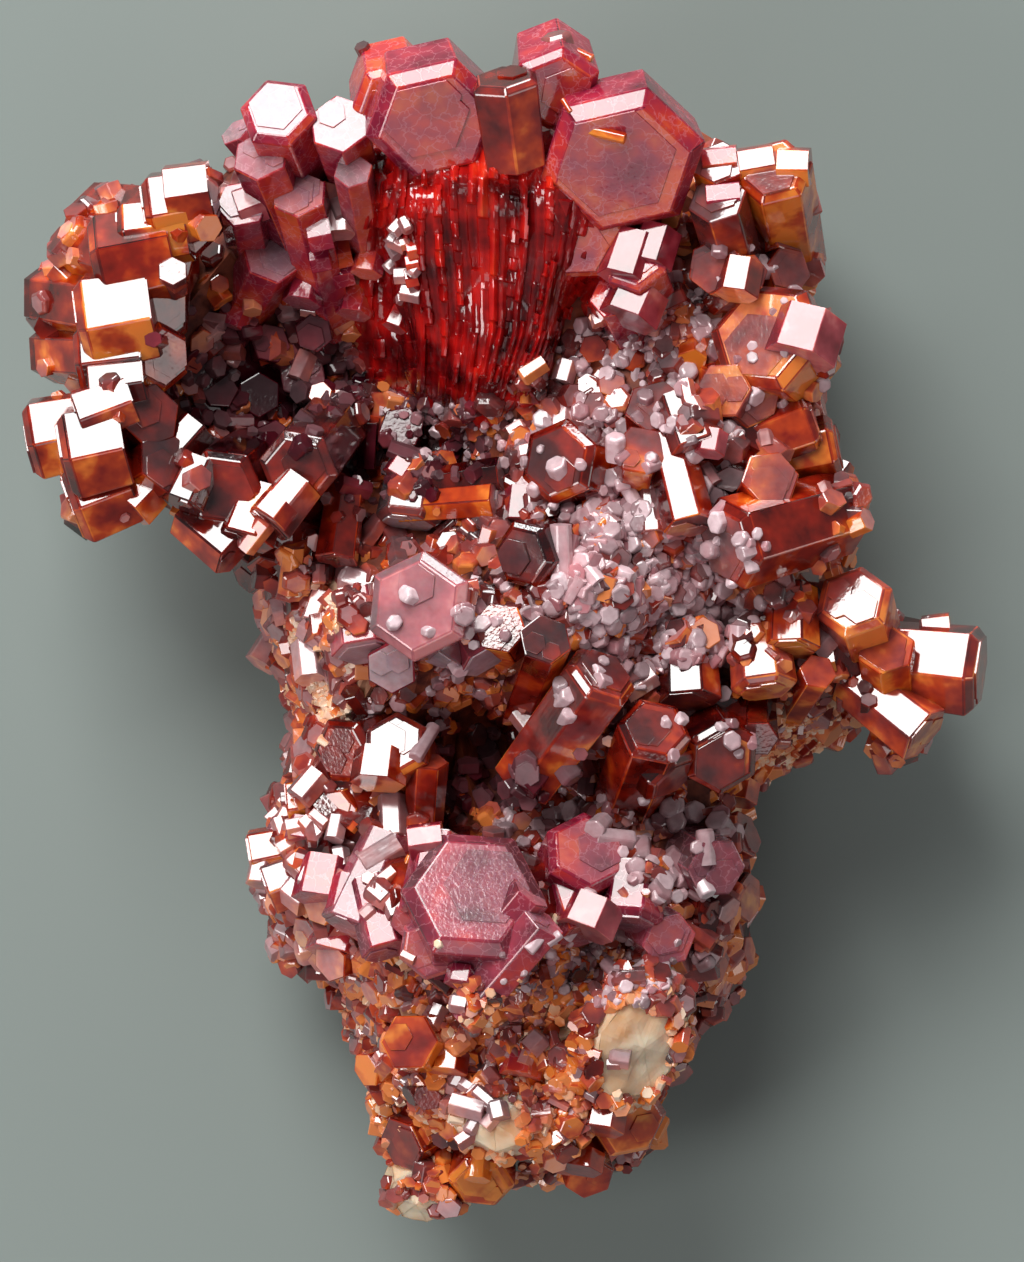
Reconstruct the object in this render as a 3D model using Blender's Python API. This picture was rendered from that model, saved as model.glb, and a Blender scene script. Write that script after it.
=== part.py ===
"""Vanadinite crystals on their matrix, lying on the flat broken back of the rock.

The picture plane is the XY plane: +X is the picture's right, +Y its top, and +Z points at the viewer.
Places are given in picture pixels across and down, heights and sizes in millimetres.
"""

import math

import bmesh
import bpy
from mathutils import Matrix, Vector, noise

MM = 0.001
PIXEL = 0.05 * MM
PICTURE_CENTRE = (505, 627)
GAP = 0.3 * MM

# The rock: its outline as the picture shows it, round the point that all its edges face
MATRIX_CENTRE = (480, 560)
MATRIX_OUTLINE = (
    (430, 84), (352, 132), (300, 128), (246, 142), (188, 196), (148, 246), (112, 290), (98, 356),
    (74, 402), (62, 444), (112, 480), (172, 508), (224, 534), (244, 562), (258, 604), (272, 664),
    (296, 722), (294, 770), (264, 820), (272, 880), (306, 940), (340, 1020), (370, 1090), (396, 1146),
    (436, 1186), (520, 1194), (592, 1184), (652, 1126), (694, 1052), (720, 990), (740, 930), (750, 862),
    (748, 804), (776, 776), (842, 740), (908, 704), (912, 640), (852, 578), (856, 530), (842, 452),
    (816, 404), (818, 350), (814, 290), (802, 206), (760, 162), (690, 112), (560, 74),
)
MATRIX_AROUND = 46
MATRIX_RINGS = 14
BASE_HEIGHT = 13.0
EDGE_HEIGHT = 6.0
EDGE_POWER = 11
FLAT_SHARE = 0.6
ROUGH_SHARE = 0.65
EQUATOR = 1e-6
SWELL_UP = 1.7
CRUST_SWELL = 1.6
SWELL_OUT = 2.4
SWELL_POWER = 8
BACK_POWER = 1.5
ROUGHNESS = 0.7
ROUGH_SCALE = 37.14
ROUGH_DEPTH = 90
ROUGH_DIMENSION = 0.6
ROUGH_LACUNARITY = 2.0
ROUGH_OCTAVES = 3

# Hills and hollows of the rock's front: across, down, reach across, reach down, height
RELIEF = {
    "bowl": (300, 395, 125, 118, -7.6),
    "bowl throat": (430, 472, 82, 56, -5.6),
    "wing rim": (112, 330, 64, 140, 2.6),
    "wing corner": (112, 450, 60, 46, 1.8),
    "lower rim": (236, 502, 110, 32, 5.0),
    "crown": (540, 150, 180, 84, 2.4),
    "crown column": (486, 290, 64, 120, 2.2),
    "shoulder": (752, 222, 74, 74, 1.6),
    "east bank": (752, 440, 92, 92, 3.4),
    "centre": (590, 590, 140, 110, 5.6),
    "druse hollow": (686, 640, 62, 42, -2.6),
    "plate seat": (420, 622, 62, 56, 4.4),
    "spur": (872, 664, 66, 50, 0.6),
    "cave": (484, 778, 84, 40, -9.6),
    "bluff": (470, 892, 120, 60, 6.8),
    "lower face": (520, 1020, 150, 96, 3.6),
    "foot": (520, 1160, 120, 50, -0.6),
}

FLASH = (112, 22)
FOOT_TAPER = 0.9
ROOT_STEP = 0.5
ROOT_STEPS = 6
ROOT_TILT = 42
ROOT_WIDTH = 4.4
BLADE_AROUND = 8
BLADE_RINGS = 4
CHAMFER_FROM = 3.3
CHAMFER_SHARE = 0.09
NEAR = 0.8 * MM
FLAT_ANGLE = 5

# Crystals: name, across, down, height of the tip, width over corners, length,
# then the compass way it leans, its tilt away from the viewer, and its turn, in degrees.
# One with no tilt lies down, with a side face turned to the light that FLASH faces.
WING = (
    ("tip", 30, 440, 13.8, 4.4, 3.4, 190, None, 0),
    ("diamond", 68, 455, 16.4, 5.0, 3.1, 190, None, 0),
    ("low diamond", 74, 505, 15.0, 4.6, 3.1, 200, None, 0),
    ("ledge", 82, 418, 17.2, 2.9, 2.8, 200, None, 0),
    ("small ledge", 94, 387, 16.8, 2.5, 2.7, 186, None, 0),
    ("step", 80, 360, 15.6, 3.8, 3.3, 184, None, 0),
    ("block", 84, 325, 16.0, 5.4, 3.7, 188, None, 0),
    ("upper block", 98, 268, 15.8, 5.2, 4.0, 190, None, 26),
    ("shoulder block", 124, 240, 16.2, 3.6, 3.4, 186, None, 20),
    ("peak", 150, 214, 16.4, 4.2, 3.4, 188, None, 0),
    ("red side", 166, 262, 16.2, 4.6, 6.5, 345, 40, 0),
    ("upper side", 192, 226, 16.0, 3.6, 6.0, 350, 34, 20),
    ("wall side", 160, 312, 16.0, 4.2, 6.5, 350, 38, 12),
    ("inner wall", 164, 358, 16.2, 3.6, 7.0, 355, 36, 10),
    ("low wall", 152, 416, 16.6, 3.2, 7.0, 10, 30, 40),
    ("dark rim", 168, 462, 16.6, 3.2, 6.0, 30, 34, 27),
)
BOWL_RIM = (
    ("west slab", 222, 490, 16.6, 4.2, 7.0, 225, 15, 38),
    ("chip", 184, 504, 16.8, 2.2, 2.4, 250, None, 0),
    ("bar", 235, 552, 15.6, 2.8, 3.3, 318, None, 0),
    ("slab", 298, 470, 17.0, 4.0, 7.0, 235, 20, 25),
    ("block", 246, 540, 16.2, 3.0, 2.8, 255, None, 0),
    ("east block", 270, 524, 17.0, 2.6, 2.7, 235, None, 0),
    ("pendant", 336, 560, 14.4, 2.2, 4.0, 266, None, 30),
    ("amber", 274, 573, 12.0, 3.0, 5.0, 250, 60, 10),
    ("west amber", 244, 574, 10.8, 2.2, 5.0, 215, 60, 30),
)
CROWN_WEST = (
    ("prism", 279, 114, 18.4, 3.9, 8.0, 112, 25, 28),
    ("twin", 262, 158, 17.0, 2.9, 8.0, 112, 34, 5),
    ("spark", 236, 130, 13.6, 1.8, 5.5, 130, 60, 20),
    ("notch", 341, 128, 18.6, 3.1, 8.0, 108, 23, 20),
    ("low notch", 354, 174, 18.0, 1.9, 7.0, 100, 30, 8),
    ("fluted", 300, 196, 16.0, 2.8, 8.0, 105, 38, 15),
    ("gem", 243, 204, 15.0, 2.6, 7.0, 100, 24, 0),
    ("bowl wall", 270, 256, 12.6, 3.0, 7.0, 60, 34, 10),
)
CROWN = (
    ("west plate", 436, 130, 20.4, 7.0, 3.6, 283, 30, 0),
    ("west plate back", 398, 108, 18.6, 4.6, 3.6, 283, 30, 0),
    ("amber block", 504, 84, 20.9, 3.6, 4.6, 98, 66, 30),
    ("top plate", 556, 96, 19.6, 4.6, 4.0, 278, 30, 15),
    ("east plate", 622, 172, 20.0, 8.6, 3.4, 276, 30, 8),
    ("low east plate", 584, 240, 17.8, 5.0, 3.4, 272, 22, 0),
    ("stepped plate", 634, 262, 18.0, 3.3, 3.0, 118, 26, 10),
    ("low stepped plate", 613, 298, 16.6, 2.3, 2.6, 118, 28, 40),
)
SHOULDER = (
    ("west", 718, 166, 17.8, 2.7, 6.0, 104, 38, 10),
    ("middle", 716, 203, 18.6, 2.9, 7.0, 108, 40, 0),
    ("cap", 772, 172, 18.2, 3.9, 7.0, 104, 30, 0),
    ("red step", 788, 228, 14.6, 2.8, 6.0, 20, 48, 0),
    ("brown", 714, 268, 17.2, 2.8, 6.0, 160, 20, 12),
    ("pale side", 748, 274, 17.4, 1.9, 5.0, 40, 26, 0),
    ("red", 788, 270, 15.2, 2.4, 6.0, 10, 28, 10),
)
EAST = (
    ("slab", 762, 336, 17.8, 6.2, 3.8, 140, 30, 0),
    ("east brown", 752, 402, 17.6, 3.3, 6.0, 330, 24, 20),
    ("corner", 812, 420, 15.8, 3.6, 4.2, 20, None, 30),
    ("dotted", 836, 446, 15.0, 3.3, 4.6, 10, None, 20),
    ("lilac", 768, 480, 19.0, 2.9, 6.0, 60, 20, 40),
    ("barrel", 724, 546, 19.8, 4.7, 7.5, 196, 54, 0),
    ("pale plate", 846, 498, 14.4, 3.4, 5.5, 25, 40, 0),
    ("white square", 696, 450, 19.0, 3.0, 2.9, 290, None, 0),
    ("rust", 640, 452, 19.2, 2.7, 6.0, 80, 24, 0),
    ("brown cap", 655, 408, 17.8, 3.1, 6.0, 95, 34, 10),
)
CENTRE = (
    ("overgrown", 556, 462, 18.2, 4.3, 7.0, 170, 28, 0),
    ("rose", 522, 556, 19.8, 3.5, 5.5, 190, 34, 10),
    ("dark", 500, 628, 20.8, 2.6, 6.0, 120, 15, 20),
    ("great barrel", 602, 674, 19.6, 3.9, 8.0, 54, 54, 30),
    ("amber block", 654, 728, 19.4, 3.7, 6.0, 70, 30, 10),
    ("small block", 689, 700, 16.4, 3.2, 3.8, 275, None, 0),
    ("rotated", 672, 778, 17.6, 3.4, 3.6, 310, None, 14),
    ("rose plate", 722, 758, 17.4, 3.9, 5.0, 300, 22, 0),
)
COMB = (
    ("white comb", 408, 522, 13.0, 3.4, 3.4, 264, None, 0),
    ("upper bar", 500, 474, 14.0, 1.7, 5.5, 8, 76, 0),
    ("lower bar", 494, 500, 14.6, 1.8, 5.0, 4, 72, 30),
)
PLATE_SEAT = (
    ("lilac cube", 436, 656, 19.8, 2.8, 3.0, 250, None, 10),
    ("pale cube", 486, 658, 19.8, 2.9, 3.0, 300, None, 0),
    ("white tile", 364, 650, 17.6, 3.2, 3.0, 280, None, 0),
    ("red foot", 392, 668, 18.4, 2.6, 5.0, 240, 24, 0),
)
LILAC_PLATE = (("plate", 418, 606, 22.2, 5.5, 3.4, 165, 14, 10),)
SPUR = (
    ("barrel", 852, 600, 16.6, 4.0, 7.0, 110, 28, 0),
    ("white cap", 789, 648, 16.6, 3.0, 3.2, 272, None, 0),
    ("white tile", 764, 690, 16.6, 3.3, 3.2, 278, None, 0),
    ("brown cube", 817, 672, 16.6, 1.8, 5.0, 60, 24, 20),
    ("middle", 886, 650, 15.6, 2.9, 6.0, 100, 34, 10),
    ("lath", 924, 734, 14.4, 3.2, 4.9, 318, None, 4),
    ("head", 980, 672, 13.4, 4.8, 4.9, 350, None, 0),
    ("underside", 868, 716, 9.6, 2.2, 4.5, 285, 58, 0),
)
CAVE_RIM = (
    ("west roof", 342, 752, 15.2, 3.5, 6.0, 200, 32, 10),
    ("roof", 396, 744, 16.6, 3.5, 6.0, 120, 20, 0),
    ("barrel", 428, 762, 16.0, 2.0, 5.0, 86, 66, 0),
    ("amber", 336, 812, 14.4, 2.3, 5.5, 200, 28, 20),
    ("pale", 290, 806, 12.4, 2.8, 3.6, 185, None, 0),
)
BLUFF = (
    ("great rose", 474, 888, 22.8, 7.2, 6.0, 86, 20, 0),
    ("strip", 428, 908, 21.4, 2.8, 4.0, 264, None, 0),
    ("low strip", 462, 944, 20.6, 3.0, 3.6, 318, None, 0),
    ("upper bar", 530, 890, 22.8, 2.1, 5.5, 50, 72, 0),
    ("lower bar", 543, 918, 23.0, 2.4, 6.5, 50, 72, 30),
    ("pale bar", 388, 948, 18.4, 2.6, 3.8, 286, None, 0),
    ("orange", 430, 946, 21.2, 3.3, 5.5, 230, 20, 0),
    ("tile", 628, 920, 18.4, 3.4, 2.9, 266, None, 0),
    ("west tile", 588, 930, 18.6, 3.2, 2.9, 290, None, 0),
    ("ridge", 588, 850, 18.8, 4.5, 5.0, 60, 28, 0),
    ("rust", 668, 938, 18.0, 2.8, 5.0, 330, 24, 10),
    ("olive", 716, 868, 15.4, 3.1, 6.0, 330, 28, 0),
)
WEST_FLANK = (
    ("first", 252, 858, 11.0, 2.8, 3.4, 190, None, 0),
    ("second", 268, 890, 12.0, 2.8, 3.4, 200, None, 0),
    ("fifth", 304, 936, 11.6, 1.8, 5.0, 205, 54, 10),
    ("sixth", 330, 962, 13.0, 2.2, 5.0, 200, 46, 30),
)
FOOT = (
    ("hexagon", 410, 1040, 17.4, 2.9, 5.0, 150, 18, 0),
    ("leaf", 402, 1148, 11.4, 2.9, 5.0, 205, 50, 0),
    ("south", 480, 1188, 12.2, 3.4, 5.5, 264, 40, 0),
    ("dark", 632, 1122, 15.0, 4.1, 6.5, 325, 32, 10),
    ("east tile", 580, 1166, 14.2, 2.6, 3.0, 285, None, 0),
    ("rust", 590, 1180, 12.6, 2.5, 5.0, 290, 38, 0),
)
EAST_FLANK = (
    ("top", 748, 836, 9.8, 2.4, 5.5, 20, 60, 0),
    ("middle", 750, 900, 9.8, 2.5, 5.5, 355, 58, 10),
    ("lower", 716, 968, 11.0, 2.2, 5.5, 340, 52, 0),
)
BOWL_DRUSE = (
    ("one", 232, 318, 10.2, 2.2, 4.0, 80, 24, 10),
    ("three", 256, 392, 8.6, 2.2, 4.0, 340, 14, 20),
    ("four", 300, 372, 8.4, 2.4, 4.0, 100, 12, 30),
    ("six", 272, 440, 9.6, 2.2, 4.0, 40, 18, 15),
    ("ten", 400, 426, 9.6, 2.2, 4.0, 100, 14, 0),
)

# Baryte blades: name, across, down, height, half width, half length, half thickness, lean, tilt, turn
BARYTE = (
    ("great blade", 632, 1036, 17.0, 3.4, 4.4, 1.6, 320, 30, 20),
    ("slim blade", 566, 1104, 16.0, 1.3, 3.4, 1.3, 300, 24, 60),
    ("west mass", 502, 1116, 16.0, 2.2, 2.8, 1.7, 200, 16, 70),
)
HEEL = (("heel", 428, 1186, 9.6, 2.2, 2.6, 2.4, 240, 34, 40),)

# Each cluster: its crystals, then the crust that holds them together as across, down, reach across,
# reach down and thickness
CLUSTERS = {
    "crown_crystals": (CROWN, ((500, 146, 170, 52, 2.6), (612, 214, 74, 76, 2.0), (486, 330, 84, 116, 1.4))),
    "crown_west_crystals": (CROWN_WEST, ((300, 200, 66, 56, 2.0),)),
    "wing_crystals": (WING, ((156, 272, 46, 92, 2.2), (128, 400, 44, 84, 2.2))),
    "bowl_rim_crystals": (BOWL_RIM, ((260, 502, 96, 40, 1.8), (292, 552, 62, 48, 2.2))),
    "shoulder_crystals": (SHOULDER, ((748, 222, 66, 80, 2.5),)),
    "east_crystals": (EAST, ((762, 390, 66, 90, 2.0), (694, 484, 98, 76, 2.0), (800, 500, 50, 40, 1.8))),
    "lilac_plate": (LILAC_PLATE, ()),
    "plate_seat_crystals": (PLATE_SEAT, ((396, 640, 100, 40, 1.6),)),
    "centre_crystals": (CENTRE, (
        (570, 590, 76, 140, 1.8), (600, 716, 110, 74, 2.6), (690, 722, 84, 64, 1.8),
    )),
    "comb_crystals": (COMB, ((452, 500, 80, 36, 2.0),)),
    "spur_crystals": (SPUR, ((860, 652, 96, 46, 2.2), (792, 668, 66, 46, 2.2))),
    "bluff_crystals": (BLUFF, ((470, 902, 160, 78, 2.0), (626, 890, 84, 60, 1.8))),
    "cave_rim_crystals": (CAVE_RIM, ((372, 788, 100, 60, 2.6),)),
    "west_flank_crystals": (WEST_FLANK, ((304, 890, 46, 100, 2.0),)),
    "baryte_blades": (BARYTE, ((572, 1076, 96, 60, 1.4),)),
    "heel_blade": (HEEL, ()),
    "foot_crystals": (FOOT, ((424, 1090, 60, 90, 1.6), (546, 1150, 120, 42, 2.0))),
    "east_flank_crystals": (EAST_FLANK, ((722, 914, 34, 114, 2.2),)),
    "bowl_druse": (BOWL_DRUSE, ((272, 384, 92, 84, 1.4), (374, 436, 60, 46, 1.4))),
}

# The fluted column under the crown: blades that spread from one foot up to the plates
COLUMN_CLUSTER = "crown_crystals"
COLUMN_FOOT = (482, 440, 8.4)
COLUMN_SPREAD = 0.26
COLUMN_TOP_ACROSS = (398, 592)
COLUMN_TOP_DOWN = (168, 186)
COLUMN_TOP_HEIGHT = 17.4
COLUMN_TOP_FALL = 1.4
COLUMN_TOP_STEP = 0.7
COLUMN_BLADES = 7
COLUMN_WIDTH = 2.8
COLUMN_WIDER = 0.4
COLUMN_TURN = 17

COLOURS = {
    "matrix": (0.62, 0.42, 0.28, 1.0),
    "baryte": (0.82, 0.66, 0.5, 1.0),
    "vanadinite": (0.42, 0.07, 0.03, 1.0),
    "druse": (0.3, 0.08, 0.09, 1.0),
    "lilac": (0.55, 0.3, 0.33, 1.0),
}
CLUSTER_COLOURS = {
    "baryte_blades": "baryte", "heel_blade": "baryte", "lilac_plate": "lilac",
    "bowl_druse": "druse",
}


def clear_scene():
    for thing in list(bpy.data.objects):
        bpy.data.objects.remove(thing)


def collection(name):
    made = bpy.data.collections.new(name)
    bpy.context.scene.collection.children.link(made)
    return made


def material(name):
    made = bpy.data.materials.new(name)
    made.use_nodes = True
    shader = made.node_tree.nodes["Principled BSDF"]
    shader.inputs["Base Color"].default_value = COLOURS[name]
    shader.inputs["Roughness"].default_value = 0.75 if name in ("matrix", "baryte") else 0.2
    shader.inputs["Metallic"].default_value = 0.0
    return made


def place(across, down, height):
    return Vector((
        (across - PICTURE_CENTRE[0]) * PIXEL,
        (PICTURE_CENTRE[1] - down) * PIXEL,
        height * MM,
    ))


def outline_radius(angle):
    """The rock's reach from its centre along an angle, in pixels, read between the outline's points."""
    corners = []
    for across, down in MATRIX_OUTLINE:
        right, up = across - MATRIX_CENTRE[0], MATRIX_CENTRE[1] - down
        corners.append((math.atan2(up, right) % math.tau, math.hypot(right, up)))
    corners.sort()
    corners = [(corners[-1][0] - math.tau, corners[-1][1])] + corners
    corners.append((corners[1][0] + math.tau, corners[1][1]))
    angle %= math.tau
    for (start, near), (end, far) in zip(corners, corners[1:]):
        if start <= angle <= end:
            share = (angle - start) / max(end - start, 1e-9)
            return near + (far - near) * share
    return corners[0][1]


def relief(across, down):
    height = BASE_HEIGHT
    for x, y, reach_x, reach_y, rise in RELIEF.values():
        height += rise * math.exp(-(((across - x) / reach_x) ** 2) - ((down - y) / reach_y) ** 2)
    return height


def front_height(across, down, share=None):
    """The height of the rock's front in millimetres. share is 0 at its centre and 1 at its edge."""
    if share is None:
        right, up = across - MATRIX_CENTRE[0], MATRIX_CENTRE[1] - down
        share = math.hypot(right, up) / outline_radius(math.atan2(up, right))
    rounded = max(0.0, 1 - min(1.0, share) ** EDGE_POWER) ** 0.5
    return EDGE_HEIGHT + (relief(across, down) - EDGE_HEIGHT) * rounded


def back_height(share):
    beyond = max(0.0, (share - FLAT_SHARE) / (1 - FLAT_SHARE))
    return EDGE_HEIGHT * beyond**BACK_POWER


def matrix_body(name, grow=0.0):
    """A sphere's points moved out to the outline, up to the front's relief and down to the flat back."""
    shape = bmesh.new()
    bmesh.ops.create_uvsphere(shape, u_segments=MATRIX_AROUND, v_segments=MATRIX_RINGS, radius=1)
    for point in shape.verts:
        x, y, z = point.co
        angle = math.atan2(y, x)
        share = math.acos(min(1.0, abs(z))) / (math.pi / 2)
        reach = outline_radius(angle) * share
        across = MATRIX_CENTRE[0] + reach * math.cos(angle)
        down = MATRIX_CENTRE[1] - reach * math.sin(angle)
        spot = Vector((across, down, ROUGH_DEPTH * z)) / ROUGH_SCALE
        rough = ROUGHNESS * noise.fractal(spot, ROUGH_DIMENSION, ROUGH_LACUNARITY, ROUGH_OCTAVES)
        if z >= -EQUATOR:
            height = front_height(across, down, share) + rough + SWELL_UP * grow / MM
        else:
            height = back_height(share) + (abs(rough) if share > ROUGH_SHARE else 0) - grow / MM
        swell = SWELL_OUT * grow * share**SWELL_POWER
        point.co = place(across, down, height) + Vector((math.cos(angle), math.sin(angle), 0)) * swell
    bmesh.ops.triangulate(shape, faces=shape.faces, quad_method="FIXED")
    bmesh.ops.recalc_face_normals(shape, faces=shape.faces)
    return mesh_object(name, shape)


def mesh_object(name, shape, placement=None):
    mesh = bpy.data.meshes.new(name)
    shape.to_mesh(mesh)
    shape.free()
    made = bpy.data.objects.new(name, mesh)
    if placement is not None:
        made.matrix_world = placement
    return made


def lying(lean, turn):
    """The facing of a prism that points along lean and turns a side face to the flash."""
    face = (heading(*FLASH, 0) @ Vector((0, 0, 1, 0))).to_3d()
    flat = Vector((math.cos(math.radians(lean)), math.sin(math.radians(lean)), 0))
    along = (flat - face * flat.dot(face)).normalized()
    frame = Matrix((face, along.cross(face), along)).transposed().to_4x4()
    return frame @ Matrix.Rotation(math.radians(turn), 4, "Z")


def heading(lean, tilt, turn):
    if tilt is None:
        return lying(lean, turn)
    return (
        Matrix.Rotation(math.radians(lean), 4, "Z")
        @ Matrix.Rotation(math.radians(tilt), 4, "Y")
        @ Matrix.Rotation(math.radians(turn), 4, "Z")
    )


def prism(tip, facing, width, length, grow=0.0):
    """A hexagonal crystal whose tip's centre is at tip; wide ones have the small faces round the tip."""
    shape = bmesh.new()
    depth = length * MM + 2 * grow
    radius = width / 2 * MM + grow
    bmesh.ops.create_cone(
        shape, cap_ends=True, segments=6, radius1=radius * FOOT_TAPER, radius2=radius, depth=depth
    )
    bmesh.ops.translate(shape, verts=shape.verts, vec=(0, 0, grow - depth / 2))
    if width >= CHAMFER_FROM:
        cap = max(shape.faces, key=lambda face: face.calc_center_median().z)
        bmesh.ops.bevel(
            shape, geom=list(cap.edges), offset=width * CHAMFER_SHARE * MM, segments=1,
            affect="EDGES", profile=0.5, material=-1,
        )
    return mesh_object("crystal", shape, Matrix.Translation(tip) @ facing)


def crystal(row, grow=0.0):
    """A row's prism. Slim upright ones are made longer where their foot would hang over the rock."""
    _, across, down, height, width, length, lean, tilt, turn = row
    tip = place(across, down, height)
    facing = heading(lean, tilt, turn)
    inward = facing.to_3x3() @ Vector((0, 0, -MM))
    upright = tilt is not None and tilt < ROOT_TILT
    for _ in range(ROOT_STEPS if upright and width < ROOT_WIDTH else 0):
        foot = tip + inward * length
        across = foot.x / PIXEL + PICTURE_CENTRE[0]
        down = PICTURE_CENTRE[1] - foot.y / PIXEL
        if foot.z < front_height(across, down) * MM:
            break
        length += ROOT_STEP
    return prism(tip, facing, width, length, grow)


def blade(row, grow=0.0):
    """A tabular crystal with chisel edges: an eight-sided lens."""
    _, across, down, height, half_width, half_length, half_thickness, lean, tilt, turn = row
    shape = bmesh.new()
    bmesh.ops.create_uvsphere(shape, u_segments=BLADE_AROUND, v_segments=BLADE_RINGS, radius=1)
    reach = Vector((half_width, half_length, half_thickness)) * MM + Vector((grow, grow, grow))
    bmesh.ops.scale(shape, verts=shape.verts, vec=reach)
    return mesh_object(
        "blade", shape, Matrix.Translation(place(across, down, height)) @ heading(lean, tilt, turn)
    )


def crust(row, grow=0.0):
    """A low lens that follows the rock's front; the crystals of a cluster grow from it."""
    across, down, reach_x, reach_y, thickness = row
    shape = bmesh.new()
    bmesh.ops.create_uvsphere(shape, u_segments=BLADE_AROUND, v_segments=BLADE_RINGS, radius=1)
    for point in shape.verts:
        x = across + point.co.x * (reach_x + CRUST_SWELL * grow / PIXEL)
        y = down - point.co.y * (reach_y + CRUST_SWELL * grow / PIXEL)
        height = front_height(x, y) + point.co.z * (thickness + CRUST_SWELL * grow / MM)
        point.co = place(x, y, height)
    return mesh_object("crust", shape)


def column_blades(grow=0.0):
    """The fan of blades that rises from the bowl's throat to the crown."""
    blades = []
    for number in range(COLUMN_BLADES):
        share = number / (COLUMN_BLADES - 1)
        across = COLUMN_TOP_ACROSS[0] + (COLUMN_TOP_ACROSS[1] - COLUMN_TOP_ACROSS[0]) * share
        down = COLUMN_TOP_DOWN[number % 2]
        height = COLUMN_TOP_HEIGHT - COLUMN_TOP_FALL * abs(share - 0.5) + COLUMN_TOP_STEP * (number % 3)
        foot_across = COLUMN_FOOT[0] + (across - COLUMN_FOOT[0]) * COLUMN_SPREAD
        tip = place(across, down, height)
        foot = place(foot_across, COLUMN_FOOT[1], COLUMN_FOOT[2])
        facing = (tip - foot).to_track_quat("Z", "Y").to_matrix().to_4x4()
        turn = Matrix.Rotation(math.radians(COLUMN_TURN * number), 4, "Z")
        width = COLUMN_WIDTH + COLUMN_WIDER * (number % 2)
        blades.append(prism(tip, facing @ turn, width, (tip - foot).length / MM, grow))
    return blades


def members(name, grow=0.0):
    """The overlapping solids that one cluster is made of, each a separate object."""
    crystals, crusts = CLUSTERS[name]
    made = [crust(row, grow) for row in crusts]
    if name == COLUMN_CLUSTER:
        made += column_blades(grow)
    for row in crystals:
        if len(row) == 10:
            made.append(blade(row, grow))
        else:
            made.append(crystal(row, grow))
    return made


def reach_of(thing):
    corners = [thing.matrix_world @ point.co for point in thing.data.vertices]
    low = Vector([min(corner[axis] for corner in corners) for axis in range(3)])
    high = Vector([max(corner[axis] for corner in corners) for axis in range(3)])
    return low, high


def near(first, second):
    (low_a, high_a), (low_b, high_b) = first, second
    return all(low_a[i] < high_b[i] + NEAR and low_b[i] < high_a[i] + NEAR for i in range(3))


def boolean(thing, operation, others):
    step = thing.modifiers.new(operation.lower(), "BOOLEAN")
    step.operation = operation
    step.operand_type = "COLLECTION"
    step.collection = others


def keep_largest_piece(shape):
    """Drops the splinters that a cut leaves loose, so that a node stays one body."""
    waiting = set(shape.faces)
    pieces = []
    while waiting:
        stack = [waiting.pop()]
        piece = []
        while stack:
            face = stack.pop()
            piece.append(face)
            for edge in face.edges:
                for other in edge.link_faces if edge.is_manifold else ():
                    if other in waiting:
                        waiting.remove(other)
                        stack.append(other)
        pieces.append(piece)
    pieces.sort(key=lambda piece: sum(face.calc_area() for face in piece))
    loose = [face for piece in pieces[:-1] for face in piece]
    bmesh.ops.delete(shape, geom=loose, context="FACES")


def fused(name, solids, cutters, helpers):
    """One solid from the overlapping ones, cut clear of its neighbours."""
    joined = bpy.data.collections.new(name + " crystals")
    cutting = bpy.data.collections.new(name + " cutters")
    helpers.children.link(joined)
    helpers.children.link(cutting)
    for solid in solids[1:]:
        joined.objects.link(solid)
    for cutter in cutters:
        cutting.objects.link(cutter)
    first = solids[0]
    helpers.objects.link(first)
    if len(solids) > 1:
        boolean(first, "UNION", joined)
    boolean(first, "DIFFERENCE", cutting)
    bpy.context.view_layer.update()
    graph = bpy.context.evaluated_depsgraph_get()
    mesh = bpy.data.meshes.new_from_object(first.evaluated_get(graph))
    mesh.transform(first.matrix_world)
    first.modifiers.clear()
    shape = bmesh.new()
    shape.from_mesh(mesh)
    keep_largest_piece(shape)
    bmesh.ops.dissolve_limit(
        shape, angle_limit=math.radians(FLAT_ANGLE), verts=shape.verts, edges=shape.edges
    )
    bpy.data.meshes.remove(mesh)
    return mesh_object(name, shape)


def main():
    clear_scene()
    specimen = collection("vanadinite_on_matrix")
    helpers = collection("helpers")
    colours = {name: material(name) for name in COLOURS}

    matrix = matrix_body("matrix")
    specimen.objects.link(matrix)
    matrix.data.materials.append(colours["matrix"])
    grown_matrix = matrix_body("grown matrix", GAP)
    finished = {grown_matrix: reach_of(grown_matrix)}
    parts = [matrix]
    for name in CLUSTERS:
        solids = members(name)
        boxes = [reach_of(solid) for solid in solids]
        cutters = [done for done, box in finished.items() if any(near(box, other) for other in boxes)]
        part = fused(name, solids, cutters, helpers)
        specimen.objects.link(part)
        part.data.materials.clear()
        part.data.materials.append(colours[CLUSTER_COLOURS.get(name, "vanadinite")])
        parts.append(part)
        finished.update((solid, reach_of(solid)) for solid in members(name, GAP))
    for helper in helpers.all_objects:
        helper.hide_render = True
        helper.display_type = "WIRE"
    centre_on_origin(parts)


def centre_on_origin(parts):
    """Puts the middle of the specimen's box over the origin, with its flat back at height 0."""
    bpy.context.view_layer.update()
    boxes = [reach_of(part) for part in parts]
    low = Vector([min(box[0][axis] for box in boxes) for axis in range(3)])
    high = Vector([max(box[1][axis] for box in boxes) for axis in range(3)])
    shift = Vector((-(low.x + high.x) / 2, -(low.y + high.y) / 2, -low.z))
    for part in parts:
        part.location = shift


main()
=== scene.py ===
import math
import random

import bmesh
import bpy
import numpy
from mathutils import Matrix, Vector, noise
from mathutils.bvhtree import BVHTree


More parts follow.
